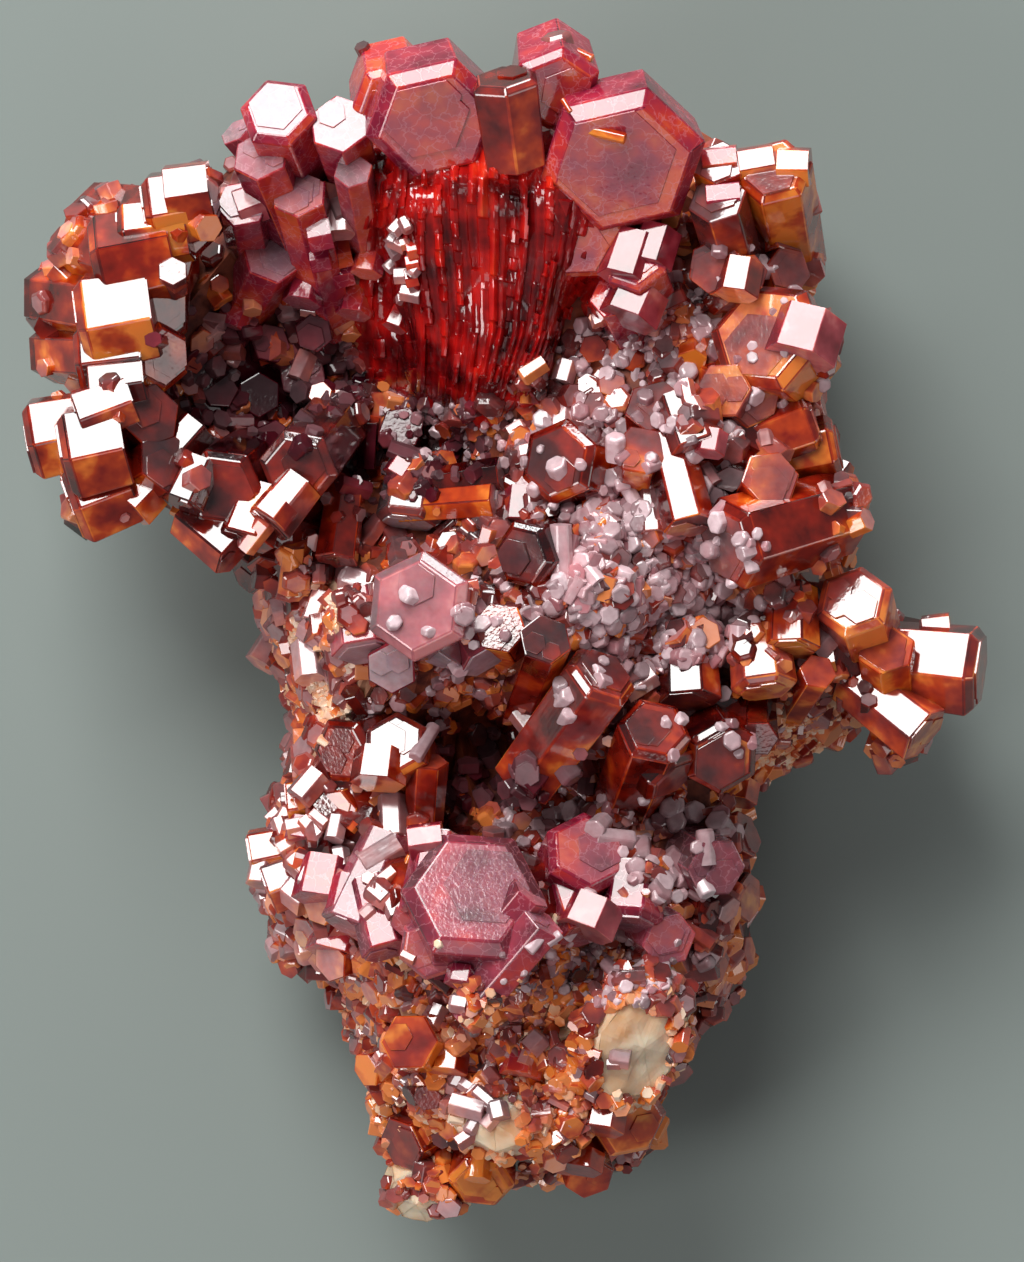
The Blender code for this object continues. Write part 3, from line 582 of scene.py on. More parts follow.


# The kinds of small crystal. Tone runs from dark garnet (0) to amber (1), bloom from bare (0) to white (1), a
# pale bloom that on tip faces is also a painted highlight.
# rise is how far one stands out, wander how far it leans, onLarge how many grow on the large crystals,
# highlightedTips whether some of their tips get a painted highlight.
# Each patch: across, down, reach across, reach down, how many, the smallest and the largest in millimetres
smallCrystals = {
    "red": {
        "material": "grain", "edges": "sharp", "tone": (0.2, 0.8), "bloomAndHighlight": (0.0, 0.1),
        "rise": 0.35, "wander": 1.0, "onLarge": 0.0, "boxes": False,
        "inCave": False, "highlightedTips": True,
        "patches": (
            (480, 360, 430, 340, 1500, 0.6, 1.8),
            (500, 860, 420, 360, 2100, 0.5, 1.4),
        ),
    },
    "ember": {
        "material": "grain", "edges": "sharp", "tone": (0.7, 1.0), "bloomAndHighlight": (0.0, 0.1),
        "rise": 0.35, "wander": 1.0, "onLarge": 0.0, "boxes": False,
        "inCave": False, "highlightedTips": False,
        "patches": (
            (560, 520, 260, 420, 420, 0.5, 1.3),
            (500, 1060, 200, 150, 900, 0.4, 1.2),
        ),
    },
    "pale": {
        "material": "frosted", "edges": "rounded", "tone": (0.15, 0.6), "bloomAndHighlight": (0.2, 0.85),
        "rise": 0.5, "wander": 1.0, "onLarge": 0.16, "boxes": False,
        "inCave": False, "highlightedTips": False,
        "patches": (
            (650, 580, 118, 104, 640, 0.6, 1.3),
            (600, 470, 120, 60, 230, 0.55, 1.2),
            (700, 400, 130, 70, 130, 0.5, 1.2),
            (640, 330, 110, 50, 130, 0.4, 1.0),
            (740, 300, 80, 60, 110, 0.4, 1.0),
            (440, 420, 70, 46, 130, 0.3, 0.8),
            (470, 640, 100, 60, 70, 0.6, 1.3),
            (560, 660, 60, 60, 50, 0.6, 1.2),
            (640, 850, 110, 60, 120, 0.6, 1.4),
            (600, 965, 110, 40, 260, 0.4, 0.9),
            (720, 740, 70, 50, 50, 0.6, 1.1),
            (400, 740, 70, 40, 40, 0.6, 1.2),
            (550, 820, 60, 30, 60, 0.5, 1.0),
        ),
    },
    "dusk": {
        "material": "dusk", "edges": "sharp", "tone": (0.05, 0.45), "bloomAndHighlight": (0.0, 0.12),
        "rise": 0.4, "wander": 1.0, "onLarge": 0.1, "boxes": False,
        "inCave": True, "highlightedTips": False,
        "patches": (
            (390, 440, 100, 70, 260, 0.5, 1.1),
            (250, 380, 110, 90, 200, 0.6, 1.4),
            (500, 770, 90, 40, 80, 0.7, 1.6),
        ),
    },
    "frost": {
        "material": "peach", "edges": "sharp", "tone": (0.55, 1.0), "bloomAndHighlight": (0.0, 0.3),
        "rise": 0.4, "wander": 1.0, "onLarge": 0.05, "boxes": False,
        "inCave": False, "highlightedTips": False,
        "patches": (
            (300, 665, 58, 84, 900, 0.25, 0.65),
        ),
    },
    "sugar": {
        "material": "peach", "edges": "sharp", "tone": (0.1, 0.9), "bloomAndHighlight": (0.0, 0.15),
        "rise": 0.4, "wander": 1.0, "onLarge": 0.02, "boxes": False,
        "inCave": False, "highlightedTips": False,
        "patches": (
            (800, 745, 64, 44, 420, 0.3, 0.7),
            (500, 1050, 190, 140, 1300, 0.25, 0.75),
        ),
    },
    "tile": {
        "material": "grain", "edges": "sharp", "tone": (0.35, 0.7), "bloomAndHighlight": (0.1, 0.4),
        "rise": 0.45, "wander": 0.1, "onLarge": 0.04, "boxes": True,
        "inCave": False, "highlightedTips": True,
        "patches": (
            (290, 870, 50, 90, 46, 0.8, 1.9),
            (430, 1000, 130, 120, 110, 0.6, 1.4),
            (320, 250, 40, 80, 44, 0.9, 1.7),
            (405, 262, 14, 40, 12, 0.7, 1.1),
            (260, 330, 60, 50, 26, 0.8, 1.7),
            (660, 420, 160, 110, 60, 0.7, 1.6),
            (330, 630, 70, 60, 12, 1.2, 2.0),
            (560, 1110, 110, 70, 16, 0.8, 1.5),
            (840, 640, 70, 50, 14, 1.0, 1.9),
            (380, 850, 90, 60, 20, 1.0, 2.0),
            (640, 740, 120, 90, 40, 0.8, 1.6),
        ),
    },
}

# The ovals in the picture that hold back small crystals: across, down, reach across, reach down
hollows = {
    "cave": ((508, 768, 70, 38),),
    "bare": (
        (482, 246, 130, 112), (450, 330, 96, 74), (560, 130, 150, 90), (420, 120, 70, 80),
        (630, 1048, 40, 48), (492, 1122, 30, 32),
    ),
    "sparse": ((90, 380, 74, 150), (150, 270, 60, 100), (230, 500, 110, 50), (950, 670, 60, 50)),
    "sparseLoss": 0.8,
}

# Small crystals, one wide: their heights, the chamfer of their tips and their taper
smallForms = ((1.0, 0, 1.0), (1.4, 0, 0.9), (0.8, 0.12, 1.0), (2.0, 0, 0.94), (1.2, 0.1, 0.9))
boxForms = (0, 2)  # the forms that pass for boxes
# How small crystals lean and stretch, and how often and how much a painted highlight whitens their tips;
# boxes turn a side face to the flash
scattering = {
    "steepest": 0.05, "wander": 0.6, "lift": 0.3, "favourSmall": 1.6, "narrow": (0.75, 1), "tall": (0.8, 1.3),
    "flashLean": (flash["lean"], 8), "flashTilt": (flash["tilt"], 4), "tipHighlight": 0.2, "highlightedTips": 0.3,
}
# Lays a crystal down with a side face where its tip was
sideways = Matrix.Rotation(math.radians(-90), 3, "Y")


def smallShapes(edge, segments):
    return [prismShape(1.0, tall, edge, segments, chamfer, taper) for tall, chamfer, taper in smallForms]


def within(x, y, ovals):
    # Whether a place in the picture lies in one of some ovals
    return any(
        ((x - across) / reachX) ** 2 + ((y - down) / reachY) ** 2 < 1
        for across, down, reachX, reachY in ovals
    )


def keptOut(x, y, look):
    # Whether a place is one where this kind doesn't grow
    if not look["inCave"] and within(x, y, hollows["cave"]):
        return True
    if look["boxes"]:
        return False
    thinned = within(x, y, hollows["sparse"])
    return within(x, y, hollows["bare"]) or (thinned and seed.random() < hollows["sparseLoss"])


def scatter(heap, look, patch, shapes):
    # Small crystals of one kind, dropped on the surface inside an oval of the picture
    across, down, reachX, reachY, count, smallest, largest = patch
    for _ in range(count):
        angle, far = seed.uniform(0, math.tau), math.sqrt(seed.random())
        x = across + reachX * far * math.cos(angle)
        y = down + reachY * far * math.sin(angle)
        if keptOut(x, y, look):
            continue
        spot, normal = below(x, y)
        if spot is None or normal.z < scattering["steepest"]:
            continue
        if onLarge(spot) and seed.random() > look["onLarge"]:
            continue
        size = (smallest + (largest - smallest) * seed.random() ** scattering["favourSmall"]) * mm
        if look["boxes"]:
            lean, tilt = seed.gauss(*scattering["flashLean"]), seed.gauss(*scattering["flashTilt"])
            facing = heading(lean, tilt, seed.uniform(0, 360)) @ sideways
        else:
            wander = Vector([seed.gauss(0, look["wander"]) for _ in range(3)]) * scattering["wander"]
            aim = (normal + wander + Vector((0, 0, scattering["lift"]))).normalized()
            facing = aim.to_track_quat("Z", "Y").to_matrix() @ Matrix.Rotation(seed.uniform(0, 6), 3, "Z")
        points, faces = shapes[seed.choice(boxForms) if look["boxes"] else seed.randrange(len(shapes))]
        narrow, tall = seed.uniform(*scattering["narrow"]), seed.uniform(*scattering["tall"])
        tip = spot + facing @ Vector((0, 0, look["rise"] * size))
        keepInside(tip, size / 2)
        bloomAndHighlight = seed.uniform(*look["bloomAndHighlight"])
        # Some tips get a painted highlight on top of their bloom
        highlighted = look["highlightedTips"] and seed.random() < scattering["highlightedTips"]
        tipBloomAndHighlight = min(1, bloomAndHighlight + (scattering["tipHighlight"] if highlighted else 0))
        shape = (points * (size, size * narrow, size * tall), faces)
        pile(heap, shape, facing, tip, seed.uniform(*look["tone"]), bloomAndHighlight, tipBloomAndHighlight)


# The small crystals round the outer edge, found by level rays from all sides, in millimetres. Their
# tipBloomAndHighlight whitens their tips, pale bloom and painted highlight together
edgeCrystals = {
    "count": 1300, "heights": (1.6, 15), "middles": (-20, 20), "from": 90, "lowest": 1.4,
    "size": (0.7, 1.7), "rise": 0.3, "wander": 0.35,
    "tone": (0.3, 0.95), "bloomAndHighlight": (0, 0.15), "tipBloomAndHighlight": (0, 0.3),
}


def scatterSides(heap, shapes):
    for _ in range(edgeCrystals["count"]):
        angle = seed.uniform(0, math.tau)
        height = seed.uniform(*edgeCrystals["heights"]) * mm
        centre = Vector((0, seed.uniform(*edgeCrystals["middles"]) * mm, height))
        start = centre + Vector((math.cos(angle), math.sin(angle), 0)) * edgeCrystals["from"] * mm
        spot, normal, _, _ = surface.ray_cast(start, (centre - start).normalized())
        if spot is None or onLarge(spot) or spot.z < edgeCrystals["lowest"] * mm:
            continue
        size = seed.uniform(*edgeCrystals["size"]) * mm
        wander = Vector([seed.gauss(0, edgeCrystals["wander"]) for _ in range(3)])
        facing = (normal + wander).normalized().to_track_quat("Z", "Y").to_matrix()
        tip = spot + facing @ Vector((0, 0, edgeCrystals["rise"] * size))
        keepInside(tip, size / 2)
        tip.z = max(tip.z, size)
        points, faces = seed.choice(shapes)
        tone, bloomAndHighlight, tipBloomAndHighlight = [seed.uniform(*edgeCrystals[key]) for key in ("tone", "bloomAndHighlight", "tipBloomAndHighlight")]
        pile(heap, (points * size, faces), facing, tip, tone, bloomAndHighlight, tipBloomAndHighlight)


# Faces that mirror the key light, as boxes in the picture: left, top, right, bottom, the way the crystal
# points, and its colour
flashes = {
    "materials": {"amber": "vanadinite", "scarlet": "scarlet", "plum": "plum", "rose": "rose"},
    "width": 0.1, "edge": 0.035, "taper": 0.96, "raised": 0.3,
    "faceOff": 0.433,  # from a crystal's middle to its side face, as a share of its width
    # tipBloomAndHighlight whitens the tips, pale bloom and painted highlight together
    "tone": (0.35, 0.75), "tipBloomAndHighlight": 0.1, "flicker": 0.1,
    "boxes": (
        (289, 588, 311, 610, 280, "amber"), (310, 611, 334, 633, 280, "amber"),
        (306, 219, 330, 238, 190, "rose"), (326, 236, 349, 254, 190, "rose"),
        (308, 244, 328, 260, 188, "rose"), (330, 258, 351, 274, 190, "rose"),
        (290, 269, 311, 296, 260, "rose"), (343, 278, 362, 308, 262, "rose"),
        (358, 239, 375, 269, 262, "rose"), (300, 303, 312, 325, 262, "rose"),
        (406, 242, 418, 253, 190, "scarlet"), (405, 256, 418, 266, 190, "scarlet"),
        (404, 269, 417, 280, 190, "scarlet"), (389, 300, 404, 324, 250, "scarlet"),
        (218, 294, 241, 322, 250, "rose"), (249, 327, 276, 346, 200, "rose"),
        (272, 346, 285, 359, 210, "rose"), (297, 353, 307, 368, 250, "rose"),
        (234, 186, 261, 209, 200, "plum"), (165, 168, 209, 200, 186, "amber"),
        (390, 457, 408, 474, 240, "plum"), (509, 483, 545, 519, 268, "plum"),
        (724, 256, 747, 292, 262, "amber"), (780, 304, 818, 352, 256, "plum"),
        (680, 497, 703, 528, 268, "amber"), (815, 651, 834, 664, 188, "amber"),
        (923, 616, 951, 636, 186, "amber"), (623, 623, 651, 642, 186, "amber"),
        (746, 706, 776, 726, 186, "plum"), (289, 745, 307, 776, 262, "amber"),
        (362, 742, 391, 776, 266, "amber"), (385, 824, 405, 838, 186, "plum"),
        (408, 823, 442, 842, 186, "plum"), (257, 802, 267, 816, 250, "amber"),
        (271, 817, 286, 834, 250, "rose"), (291, 814, 307, 837, 262, "rose"),
        (312, 814, 328, 842, 262, "rose"), (305, 851, 335, 894, 262, "rose"),
        (337, 870, 360, 906, 262, "rose"), (320, 908, 352, 950, 256, "rose"),
        (571, 888, 602, 922, 250, "plum"), (436, 1044, 457, 1067, 264, "amber"),
        (590, 1098, 613, 1124, 262, "amber"), (568, 1144, 591, 1165, 262, "amber"),
        (470, 1157, 484, 1179, 266, "amber"), (729, 776, 750, 799, 262, "amber"),
        (846, 560, 884, 576, 188, "amber"), (612, 228, 640, 276, 256, "plum"),
        (636, 222, 662, 262, 256, "plum"), (614, 280, 646, 314, 250, "plum"),
        (736, 150, 772, 172, 188, "amber"), (774, 152, 806, 174, 176, "amber"),
        (700, 150, 735, 168, 184, "rose"), (704, 186, 738, 204, 184, "rose"),
        (452, 958, 470, 976, 262, "rose"), (508, 1048, 530, 1070, 262, "rose"),
        (700, 428, 716, 452, 262, "plum"), (262, 494, 284, 516, 236, "amber"),
        (122, 476, 150, 504, 230, "amber"), (384, 1002, 400, 1016, 262, "amber"),
    ),
}


def growFlashes(heaps):
    for left, top, right, bottom, lean, colour in flashes["boxes"]:
        facing = lying(lean, 0)
        pointing = facing @ upwards
        level = abs(pointing.x) > abs(pointing.y)
        long, wide = (right - left, bottom - top) if level else (bottom - top, right - left)
        width = wide * flashes["width"] * mm
        length = long * pixel
        spot, _ = below((left + right) / 2, (top + bottom) / 2)
        if spot is None:
            continue
        centre = place((left + right) / 2, (top + bottom) / 2, 0)
        centre.z = spot.z + flashes["raised"] * width
        tip = centre + pointing * (length / 2) - flashFace * (flashes["faceOff"] * width)
        shape = prismShape(width, length, flashes["edge"] * mm, 1, 0, flashes["taper"])
        tone = seed.uniform(*flashes["tone"])
        pile(heaps[colour], shape, facing, tip, tone, 0.0, flashes["tipBloomAndHighlight"], flashes["flicker"])


# Small amber crystals that lie on the crown: across, down, width, length, the way each points
laths = {
    "turn": 28, "edge": 0.03, "raised": 0.3, "tone": 0.8,
    "crystals": ((606, 140, 0.62, 1.9, 342), (584, 60, 0.5, 0.9, 330), (566, 112, 0.3, 0.8, 300)),
}


def growLaths(heap):
    for across, down, width, length, lean in laths["crystals"]:
        facing = lying(lean, laths["turn"])
        spot, _ = below(across, down)
        tip = spot + facing @ Vector((0, 0, length / 2 * mm)) + Vector((0, 0, laths["raised"] * width * mm))
        shape = prismShape(width * mm, length * mm, laths["edge"] * mm, 1)
        pile(heap, shape, facing, tip, laths["tone"], 0.0, 0.0)


def wire(tree, source, node, socket):
    # Feeds an input from a node and its output, or sets it to a plain value
    if isinstance(source, tuple) and isinstance(source[0], bpy.types.Node):
        tree.links.new(source[0].outputs[source[1]], node.inputs[socket])
    else:
        node.inputs[socket].default_value = source


def noiseNode(tree, source, scale, detail):
    made = tree.nodes.new("ShaderNodeTexNoise")
    made.inputs["Scale"].default_value = scale
    made.inputs["Detail"].default_value = detail
    wire(tree, source, made, "Vector")
    return made


def mathNode(tree, kind, operation, *values):
    # kind is Math for numbers and VectorMath for places
    made = tree.nodes.new("ShaderNode" + kind)
    made.operation = operation
    for number, value in enumerate(values):
        wire(tree, value, made, number)
    return made, 0


def rangeNode(tree, source, fromLow, fromHigh, toHigh=1.0):
    made = tree.nodes.new("ShaderNodeMapRange")
    made.inputs["From Min"].default_value = fromLow
    made.inputs["From Max"].default_value = fromHigh
    made.inputs["To Max"].default_value = toHigh
    wire(tree, source, made, "Value")
    return made, "Result"


def mixNode(tree, share, first, second):
    made = tree.nodes.new("ShaderNodeMix")
    made.data_type = "RGBA"
    for socket, source in ((0, share), (6, first), (7, second)):
        wire(tree, source, made, socket)
    return made, 2


def rampNode(tree, source, stops):
    made = tree.nodes.new("ShaderNodeValToRGB")
    elements = made.color_ramp.elements
    while len(elements) < len(stops):
        elements.new(0.5)
    for element, (position, colour) in zip(elements, stops):
        element.position = position
        element.color = (*colour, 1)
    wire(tree, source, made, "Fac")
    return made, "Color"


def bumpNode(tree, source, shader, distance, strength):
    made = tree.nodes.new("ShaderNodeBump")
    made.inputs["Strength"].default_value = strength
    made.inputs["Distance"].default_value = distance
    wire(tree, source, made, "Height")
    wire(tree, (made, "Normal"), shader, "Normal")


def newMaterial(name):
    made = bpy.data.materials.new(name)
    made.use_nodes = True
    tree = made.node_tree
    return made, tree, tree.nodes["Principled BSDF"], (tree.nodes.new("ShaderNodeTexCoord"), "Object")


# The colours of vanadinite, each from its darkest tone to its lightest
colours = {
    "amber": (
        (0.014, 0.001, 0.002), (0.08, 0.003, 0.002), (0.27, 0.012, 0.004), (0.54, 0.055, 0.006),
        (0.9, 0.24, 0.03),
    ),
    "scarlet": (
        (0.06, 0.001, 0.002), (0.24, 0.003, 0.004), (0.58, 0.01, 0.008), (0.75, 0.035, 0.012),
        (0.75, 0.1, 0.03),
    ),
    "rose": (
        (0.07, 0.001, 0.008), (0.2, 0.008, 0.03), (0.36, 0.022, 0.05), (0.55, 0.035, 0.03),
        (0.68, 0.09, 0.03),
    ),
    "plum": (
        (0.03, 0.002, 0.006), (0.1, 0.006, 0.014), (0.25, 0.016, 0.03), (0.42, 0.05, 0.07),
        (0.6, 0.16, 0.16),
    ),
    "peach": (
        (0.5, 0.05, 0.012), (0.72, 0.17, 0.04), (0.9, 0.36, 0.14), (0.95, 0.56, 0.32), (0.97, 0.74, 0.54),
    ),
    "dusk": (
        (0.03, 0.002, 0.006), (0.08, 0.005, 0.012), (0.15, 0.011, 0.022), (0.26, 0.024, 0.034),
        (0.38, 0.06, 0.06),
    ),
}

# How vanadinite's colour, bloom and faces vary. Scales are per metre
crystalSurface = {
    "tones": (0.0, 0.3, 0.6, 0.82, 1.0),
    "zoneScale": 520, "zoneDetail": 3, "zoneSwing": 1.5,
    "fineScale": 2600, "fineDetail": 2,
    "grooveScale": 5200, "grooveDetail": 1, "grooveStretch": (1.0, 1.0, 0.12),
    "bloomAndHighlightColour": (0.88, 0.68, 0.72, 1), "bloomLeast": 0.62, "bloomSwing": 0.7,
    "smoothest": 0.03, "roughSwing": 0.1, "bloomRough": 0.16, "fineHeight": 0.3,
    "bumpStrength": 0.1, "bumpDistance": 0.00005,
    "glowRadius": (1.0, 0.22, 0.1), "glowDepth": 0.0011,
    "cracked": ("rose",), "crackColour": (0.7, 0.3, 0.36, 1), "crackScale": 1300,
    "crackBend": (0.0006, 0.0006, 0.0006), "crackWidth": 0.05, "crackShare": 0.6,
}


def crystalGroup(colour):
    # Colour, roughness and height of vanadinite from its tone, its bloom, which on tip faces is also a
    # painted highlight, and its places
    tree = bpy.data.node_groups.new(colour + "Surface", "ShaderNodeTree")
    ends = (
        ("INPUT", "Tone", "Float"), ("INPUT", "Bloomandhighlight", "Float"), ("INPUT", "Place", "Vector"),
        ("INPUT", "Local", "Vector"), ("OUTPUT", "Color", "Color"), ("OUTPUT", "Roughness", "Float"),
        ("OUTPUT", "Height", "Float"),
    )
    for side, name, kind in ends:
        tree.interface.new_socket(name, in_out=side, socket_type="NodeSocket" + kind)
    entry = tree.nodes.new("NodeGroupInput")
    leave = tree.nodes.new("NodeGroupOutput")
    look = crystalSurface
    bloomAndHighlight, spot = (entry, "Bloomandhighlight"), (entry, "Place")
    zones = (noiseNode(tree, spot, look["zoneScale"], look["zoneDetail"]), "Fac")
    fineNode = noiseNode(tree, spot, look["fineScale"], look["fineDetail"])
    fine = (fineNode, "Fac")

    # Clouded zones of lighter and darker tone
    swing = look["zoneSwing"]
    shift = mathNode(tree, "Math", "MULTIPLY_ADD", zones, swing, -swing / 2)
    toned = mathNode(tree, "Math", "ADD", (entry, "Tone"), shift)
    base = rampNode(tree, toned, tuple(zip(look["tones"], colours[colour])))
    if colour in look["cracked"]:
        # Fine pale cracks under the faces of the great plates
        bent = mathNode(tree, "VectorMath", "MULTIPLY_ADD", (fineNode, "Color"), look["crackBend"], spot)
        cells = tree.nodes.new("ShaderNodeTexVoronoi")
        cells.feature = "DISTANCE_TO_EDGE"
        cells.inputs["Scale"].default_value = look["crackScale"]
        wire(tree, bent, cells, "Vector")
        near = rangeNode(tree, (cells, "Distance"), look["crackWidth"], 0.0, look["crackShare"])
        base = mixNode(tree, mathNode(tree, "Math", "MULTIPLY", near, zones), base, look["crackColour"])

    # Pale bloom over the colour, a little dusty; on tip faces the same whitening is a painted highlight
    dust = mathNode(tree, "Math", "MULTIPLY_ADD", fine, look["bloomSwing"], look["bloomLeast"])
    bloomAndHighlightShare = mathNode(tree, "Math", "MULTIPLY", bloomAndHighlight, dust)
    bloomAndHighlightShare[0].use_clamp = True
    wire(tree, mixNode(tree, bloomAndHighlightShare, base, look["bloomAndHighlightColour"]), leave, "Color")

    rough = mathNode(tree, "Math", "MULTIPLY_ADD", fine, look["roughSwing"], look["smoothest"])
    wire(tree, mathNode(tree, "Math", "MULTIPLY_ADD", bloomAndHighlight, look["bloomRough"], rough), leave, "Roughness")
    stretched = mathNode(tree, "VectorMath", "MULTIPLY", (entry, "Local"), look["grooveStretch"])
    grooves = (noiseNode(tree, stretched, look["grooveScale"], look["grooveDetail"]), "Fac")
    grain = mathNode(tree, "Math", "MULTIPLY", fine, look["fineHeight"])
    wire(tree, mathNode(tree, "Math", "ADD", grooves, grain), leave, "Height")
    return tree


def crystalMaterial(name, colour, soft=0.3, ior=1.9, tone=None):
    # Vanadinite. Where a tone is given it stands in for the piece's own tone, bloom with its painted tip
    # highlights, and local places
    made, tree, shader, spot = newMaterial(name)
    group = tree.nodes.new("ShaderNodeGroup")
    group.node_tree = surfaceGroups[colour]
    wire(tree, spot, group, "Place")
    if tone is None:
        for key, output in (("tone", "Fac"), ("bloomAndHighlight", "Fac"), ("local", "Vector")):
            layer = tree.nodes.new("ShaderNodeAttribute")
            layer.attribute_name = key
            wire(tree, (layer, output), group, key.capitalize())
    else:
        group.inputs["Tone"].default_value = tone
        group.inputs["Bloomandhighlight"].default_value = 0.0
        wire(tree, spot, group, "Local")
    bumpNode(tree, (group, "Height"), shader, crystalSurface["bumpDistance"], crystalSurface["bumpStrength"])
    wire(tree, (group, "Color"), shader, "Base Color")
    wire(tree, (group, "Roughness"), shader, "Roughness")
    shader.inputs["IOR"].default_value = ior
    shader.inputs["Subsurface Weight"].default_value = soft
    shader.inputs["Subsurface Radius"].default_value = crystalSurface["glowRadius"]
    shader.inputs["Subsurface Scale"].default_value = crystalSurface["glowDepth"]
    return made


# The rock, red-brown but for pale patches: across, down, reach in millimetres
rockLook = {
    "grain": 900, "detail": 4, "roughness": 0.6, "bump": 0.0002, "patchHeight": 9, "patchEdge": (1.15, 0.8),
    "colours": ((0.35, (0.05, 0.006, 0.005)), (0.68, (0.34, 0.07, 0.025))),
    "paleColours": ((0.3, (0.85, 0.32, 0.1)), (0.62, (0.96, 0.72, 0.5))),
    "patches": ((290, 660, 6.5), (500, 1120, 9.0), (800, 770, 4.5)),
}


def rockMaterial():
    made, tree, shader, spot = newMaterial("rock")
    grains = (noiseNode(tree, spot, rockLook["grain"], rockLook["detail"]), "Fac")
    base = rampNode(tree, grains, rockLook["colours"])
    pale = rampNode(tree, grains, rockLook["paleColours"])
    outer, inner = rockLook["patchEdge"]
    for across, down, reach in rockLook["patches"]:
        middle = place(across, down, rockLook["patchHeight"])
        away, _ = mathNode(tree, "VectorMath", "DISTANCE", spot, middle)
        near = rangeNode(tree, (away, "Value"), reach * outer * mm, reach * inner * mm)
        base = mixNode(tree, near, base, pale)
    wire(tree, base, shader, "Base Color")
    bumpNode(tree, grains, shader, rockLook["bump"], 1.0)
    shader.inputs["Roughness"].default_value = rockLook["roughness"]
    return made


# The cream blades: their colour, and the lumps that roughen them
baryteLook = {
    "clouds": 500, "detail": 5, "colours": ((0.3, (0.8, 0.42, 0.2)), (0.6, (0.93, 0.74, 0.54))),
    "roughness": 0.3, "ior": 1.64, "soft": 0.5, "radius": (1.0, 0.6, 0.4), "depth": 0.0012,
    "nodes": ("baryte_blades", "heel_blade"), "levels": 3,
    "lumpSize": 2.4, "lumpHeight": 0.7, "lumpMiddle": 0.6,
}


def baryteMaterial():
    made, tree, shader, spot = newMaterial("baryte")
    clouds = (noiseNode(tree, spot, baryteLook["clouds"], baryteLook["detail"]), "Fac")
    wire(tree, rampNode(tree, clouds, baryteLook["colours"]), shader, "Base Color")
    shader.inputs["Roughness"].default_value = baryteLook["roughness"]
    shader.inputs["IOR"].default_value = baryteLook["ior"]
    shader.inputs["Subsurface Weight"].default_value = baryteLook["soft"]
    shader.inputs["Subsurface Radius"].default_value = baryteLook["radius"]
    shader.inputs["Subsurface Scale"].default_value = baryteLook["depth"]
    return made


def subdivide(node, name, levels):
    # Splits a node's faces and keeps its shape
    split = node.modifiers.new(name, "SUBSURF")
    split.subdivision_type = "SIMPLE"
    split.levels = levels
    split.render_levels = levels


# The finishes of vanadinite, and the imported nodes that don't take the plain crust
finishes = {
    "vanadinite": {"colour": "amber"},
    "scarlet": {"colour": "scarlet"},
    "plum": {"colour": "plum", "ior": 1.7},
    "rose": {"colour": "rose", "ior": 1.65},
    "peach": {"colour": "peach", "soft": 0.0, "ior": 1.6},
    "grain": {"colour": "amber", "soft": 0.0},
    "frosted": {"colour": "plum", "soft": 0.0, "ior": 1.7},
    "dusk": {"colour": "dusk", "soft": 0.0, "ior": 1.55},
    "red": {"colour": "scarlet", "ior": 1.75},
    "crust": {"colour": "amber", "tone": 0.35, "soft": 0.0},
    "scarletCrust": {"colour": "scarlet", "tone": 0.4, "soft": 0.0},
    "duskCrust": {"colour": "dusk", "tone": 0.2, "soft": 0.0, "ior": 1.5},
}
nodeFinishes = {
    "matrix": "rock", "baryte_blades": "baryte", "heel_blade": "baryte", "bowl_druse": "duskCrust",
    "crown_crystals": "scarletCrust",
}

surfaceGroups = {colour: crystalGroup(colour) for colour in colours}
materials = {name: crystalMaterial(name, **finish) for name, finish in finishes.items()}
materials["rock"] = rockMaterial()
materials["baryte"] = baryteMaterial()
for name, node in nodes.items():
    node.data.materials.clear()
    node.data.materials.append(materials[nodeFinishes.get(name, "crust")])
print("materials ready:", len(materials), flush=True)

subdivide(nodes["matrix"], "smooth", 2)
lumps = bpy.data.textures.new("lumps", "CLOUDS")
lumps.noise_scale = baryteLook["lumpSize"] * mm
for name in baryteLook["nodes"]:
    subdivide(nodes[name], "fine", baryteLook["levels"])
    rough = nodes[name].modifiers.new("rough", "DISPLACE")
    rough.texture = lumps
    rough.texture_coords = "LOCAL"
    rough.mid_level = baryteLook["lumpMiddle"]
    rough.strength = baryteLook["lumpHeight"] * mm
print("rock and blades finished", flush=True)

surface = surfaceOf(nodes.values())
heap = newHeap()
growCurtain(heap)
redCurtain = asPiece(heap, "curtain", materials["red"])
surface = surfaceOf([*nodes.values(), redCurtain])
print("curtain hung", flush=True)

for name, cluster in clusters.items():
    heap = newHeap()
    growLarge(heap, cluster)
    asPiece(heap, name + "Crystals", materials[cluster["material"]])
largeCentres = numpy.array([tuple(centre) for centre in centres])
largeTurns = numpy.array(turns)
largeSizes = numpy.array(sizes)
print("large crystals grown:", len(centres), flush=True)

worn = {"sharp": smallShapes(0.03, 1), "rounded": smallShapes(0.1, 2)}  # how wide their edges are
number = 0
for kind, look in smallCrystals.items():
    for patch in look["patches"]:
        heap = newHeap()
        scatter(heap, look, patch, worn[look["edges"]])
        if heap["count"]:
            asPiece(heap, kind + "Patch" + str(number), materials[look["material"]])
        number += 1
print("small crystals scattered in", number, "patches", flush=True)

heaps = {colour: newHeap() for colour in flashes["materials"]}
growFlashes(heaps)
for colour, heap in heaps.items():
    if heap["count"]:
        asPiece(heap, colour + "Flashes", materials[flashes["materials"][colour]])
heap = newHeap()
scatterSides(heap, worn["sharp"])
asPiece(heap, "edgeCrystals", materials["grain"])
heap = newHeap()
growLaths(heap)
asPiece(heap, "amberLaths", materials["vanadinite"])
print("flashes, edges and laths grown", flush=True)

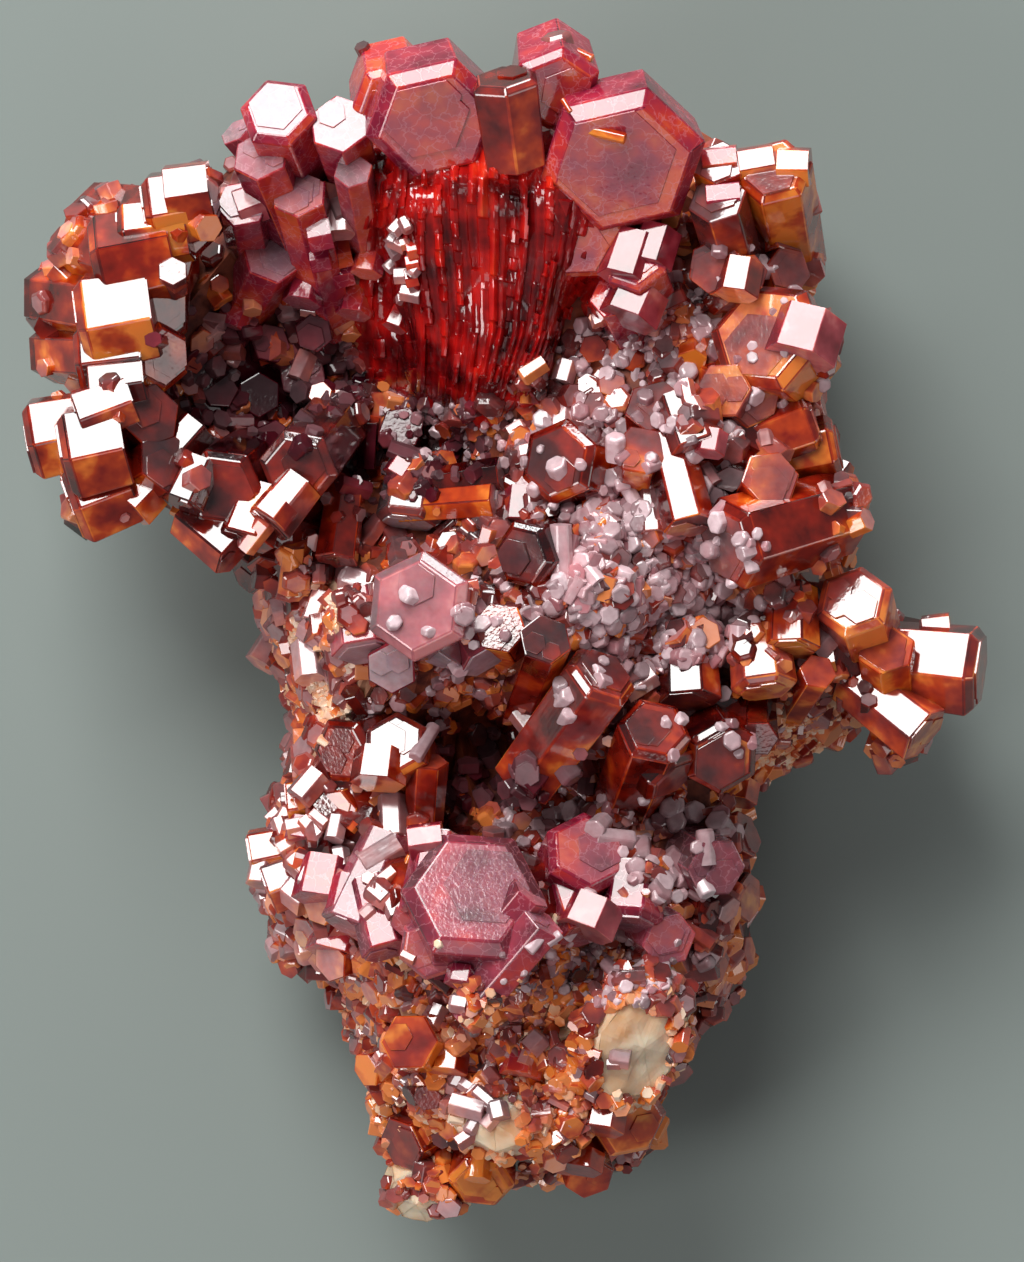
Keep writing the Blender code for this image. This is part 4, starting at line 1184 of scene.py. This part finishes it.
# The floor, and the softboxes: name, lean and tilt of where each stands, width, height, radiance, colour
stage = {
    "floorReach": 2, "floorColour": (0.225, 0.265, 0.25, 1), "floorRoughness": 0.8,
    "distance": 0.5, "aimHeight": 12, "worldColour": (0.42, 0.43, 0.45, 1), "worldStrength": 0.28,
    "softboxes": (
        ("key", 115, 44, 0.27, 0.27, 11.5, (1.0, 0.99, 0.97)),
        ("leftFront", 200, 50, 0.18, 0.24, 6.5, (1.0, 0.98, 0.97)),
        ("top", 92, 82, 0.44, 0.16, 11.0, (1.0, 1.0, 1.0)),
        ("right", 350, 78, 0.16, 0.4, 1.6, (1.0, 0.97, 0.95)),
        ("front", 272, 46, 0.3, 0.2, 1.2, (1.0, 0.92, 0.94)),
    ),
}
floorMesh = bpy.data.meshes.new("floor")
floorShape = bmesh.new()
bmesh.ops.create_grid(floorShape, x_segments=1, y_segments=1, size=stage["floorReach"])
floorShape.to_mesh(floorMesh)
floorShape.free()
floorMaterial, _, floorShader, _ = newMaterial("floor")
floorShader.inputs["Base Color"].default_value = stage["floorColour"]
floorShader.inputs["Roughness"].default_value = stage["floorRoughness"]
floorMesh.materials.append(floorMaterial)
floor = bpy.data.objects.new("floor", floorMesh)
bpy.context.scene.collection.objects.link(floor)

for name, lean, tilt, width, height, radiance, colour in stage["softboxes"]:
    data = bpy.data.lights.new(name, "AREA")
    data.shape = "RECTANGLE"
    data.size = width
    data.size_y = height
    data.energy = radiance * math.pi * width * height
    data.color = colour
    light = bpy.data.objects.new(name, data)
    bpy.context.scene.collection.objects.link(light)
    side = heading(lean, tilt, 0) @ upwards
    light.location = side * stage["distance"] + Vector((0, 0, stage["aimHeight"] * mm))
    light.rotation_euler = side.to_track_quat("Z", "Y").to_euler()

world = bpy.data.worlds.new("studio")
bpy.context.scene.world = world
world.use_nodes = True
world.node_tree.nodes["Background"].inputs["Color"].default_value = stage["worldColour"]
world.node_tree.nodes["Background"].inputs["Strength"].default_value = stage["worldStrength"]

# A long lens that looks straight down and frames what the photograph does
view = {
    "lens": 300, "sensor": 36, "near": 0.01, "across": 512, "down": 631, "height": 15, "tall": 1262 * pixel,
}
cameraData = bpy.data.cameras.new("camera")
cameraData.lens = view["lens"]
cameraData.sensor_width = view["sensor"]
cameraData.clip_start = view["near"]
camera = bpy.data.objects.new("camera", cameraData)
bpy.context.scene.collection.objects.link(camera)
distance = view["tall"] * view["lens"] / view["sensor"]
camera.location = place(view["across"], view["down"], view["height"]) + Vector((0, 0, distance))
bpy.context.scene.camera = camera
bpy.context.scene.view_settings.view_transform = "Standard"
print("stage set", flush=True)
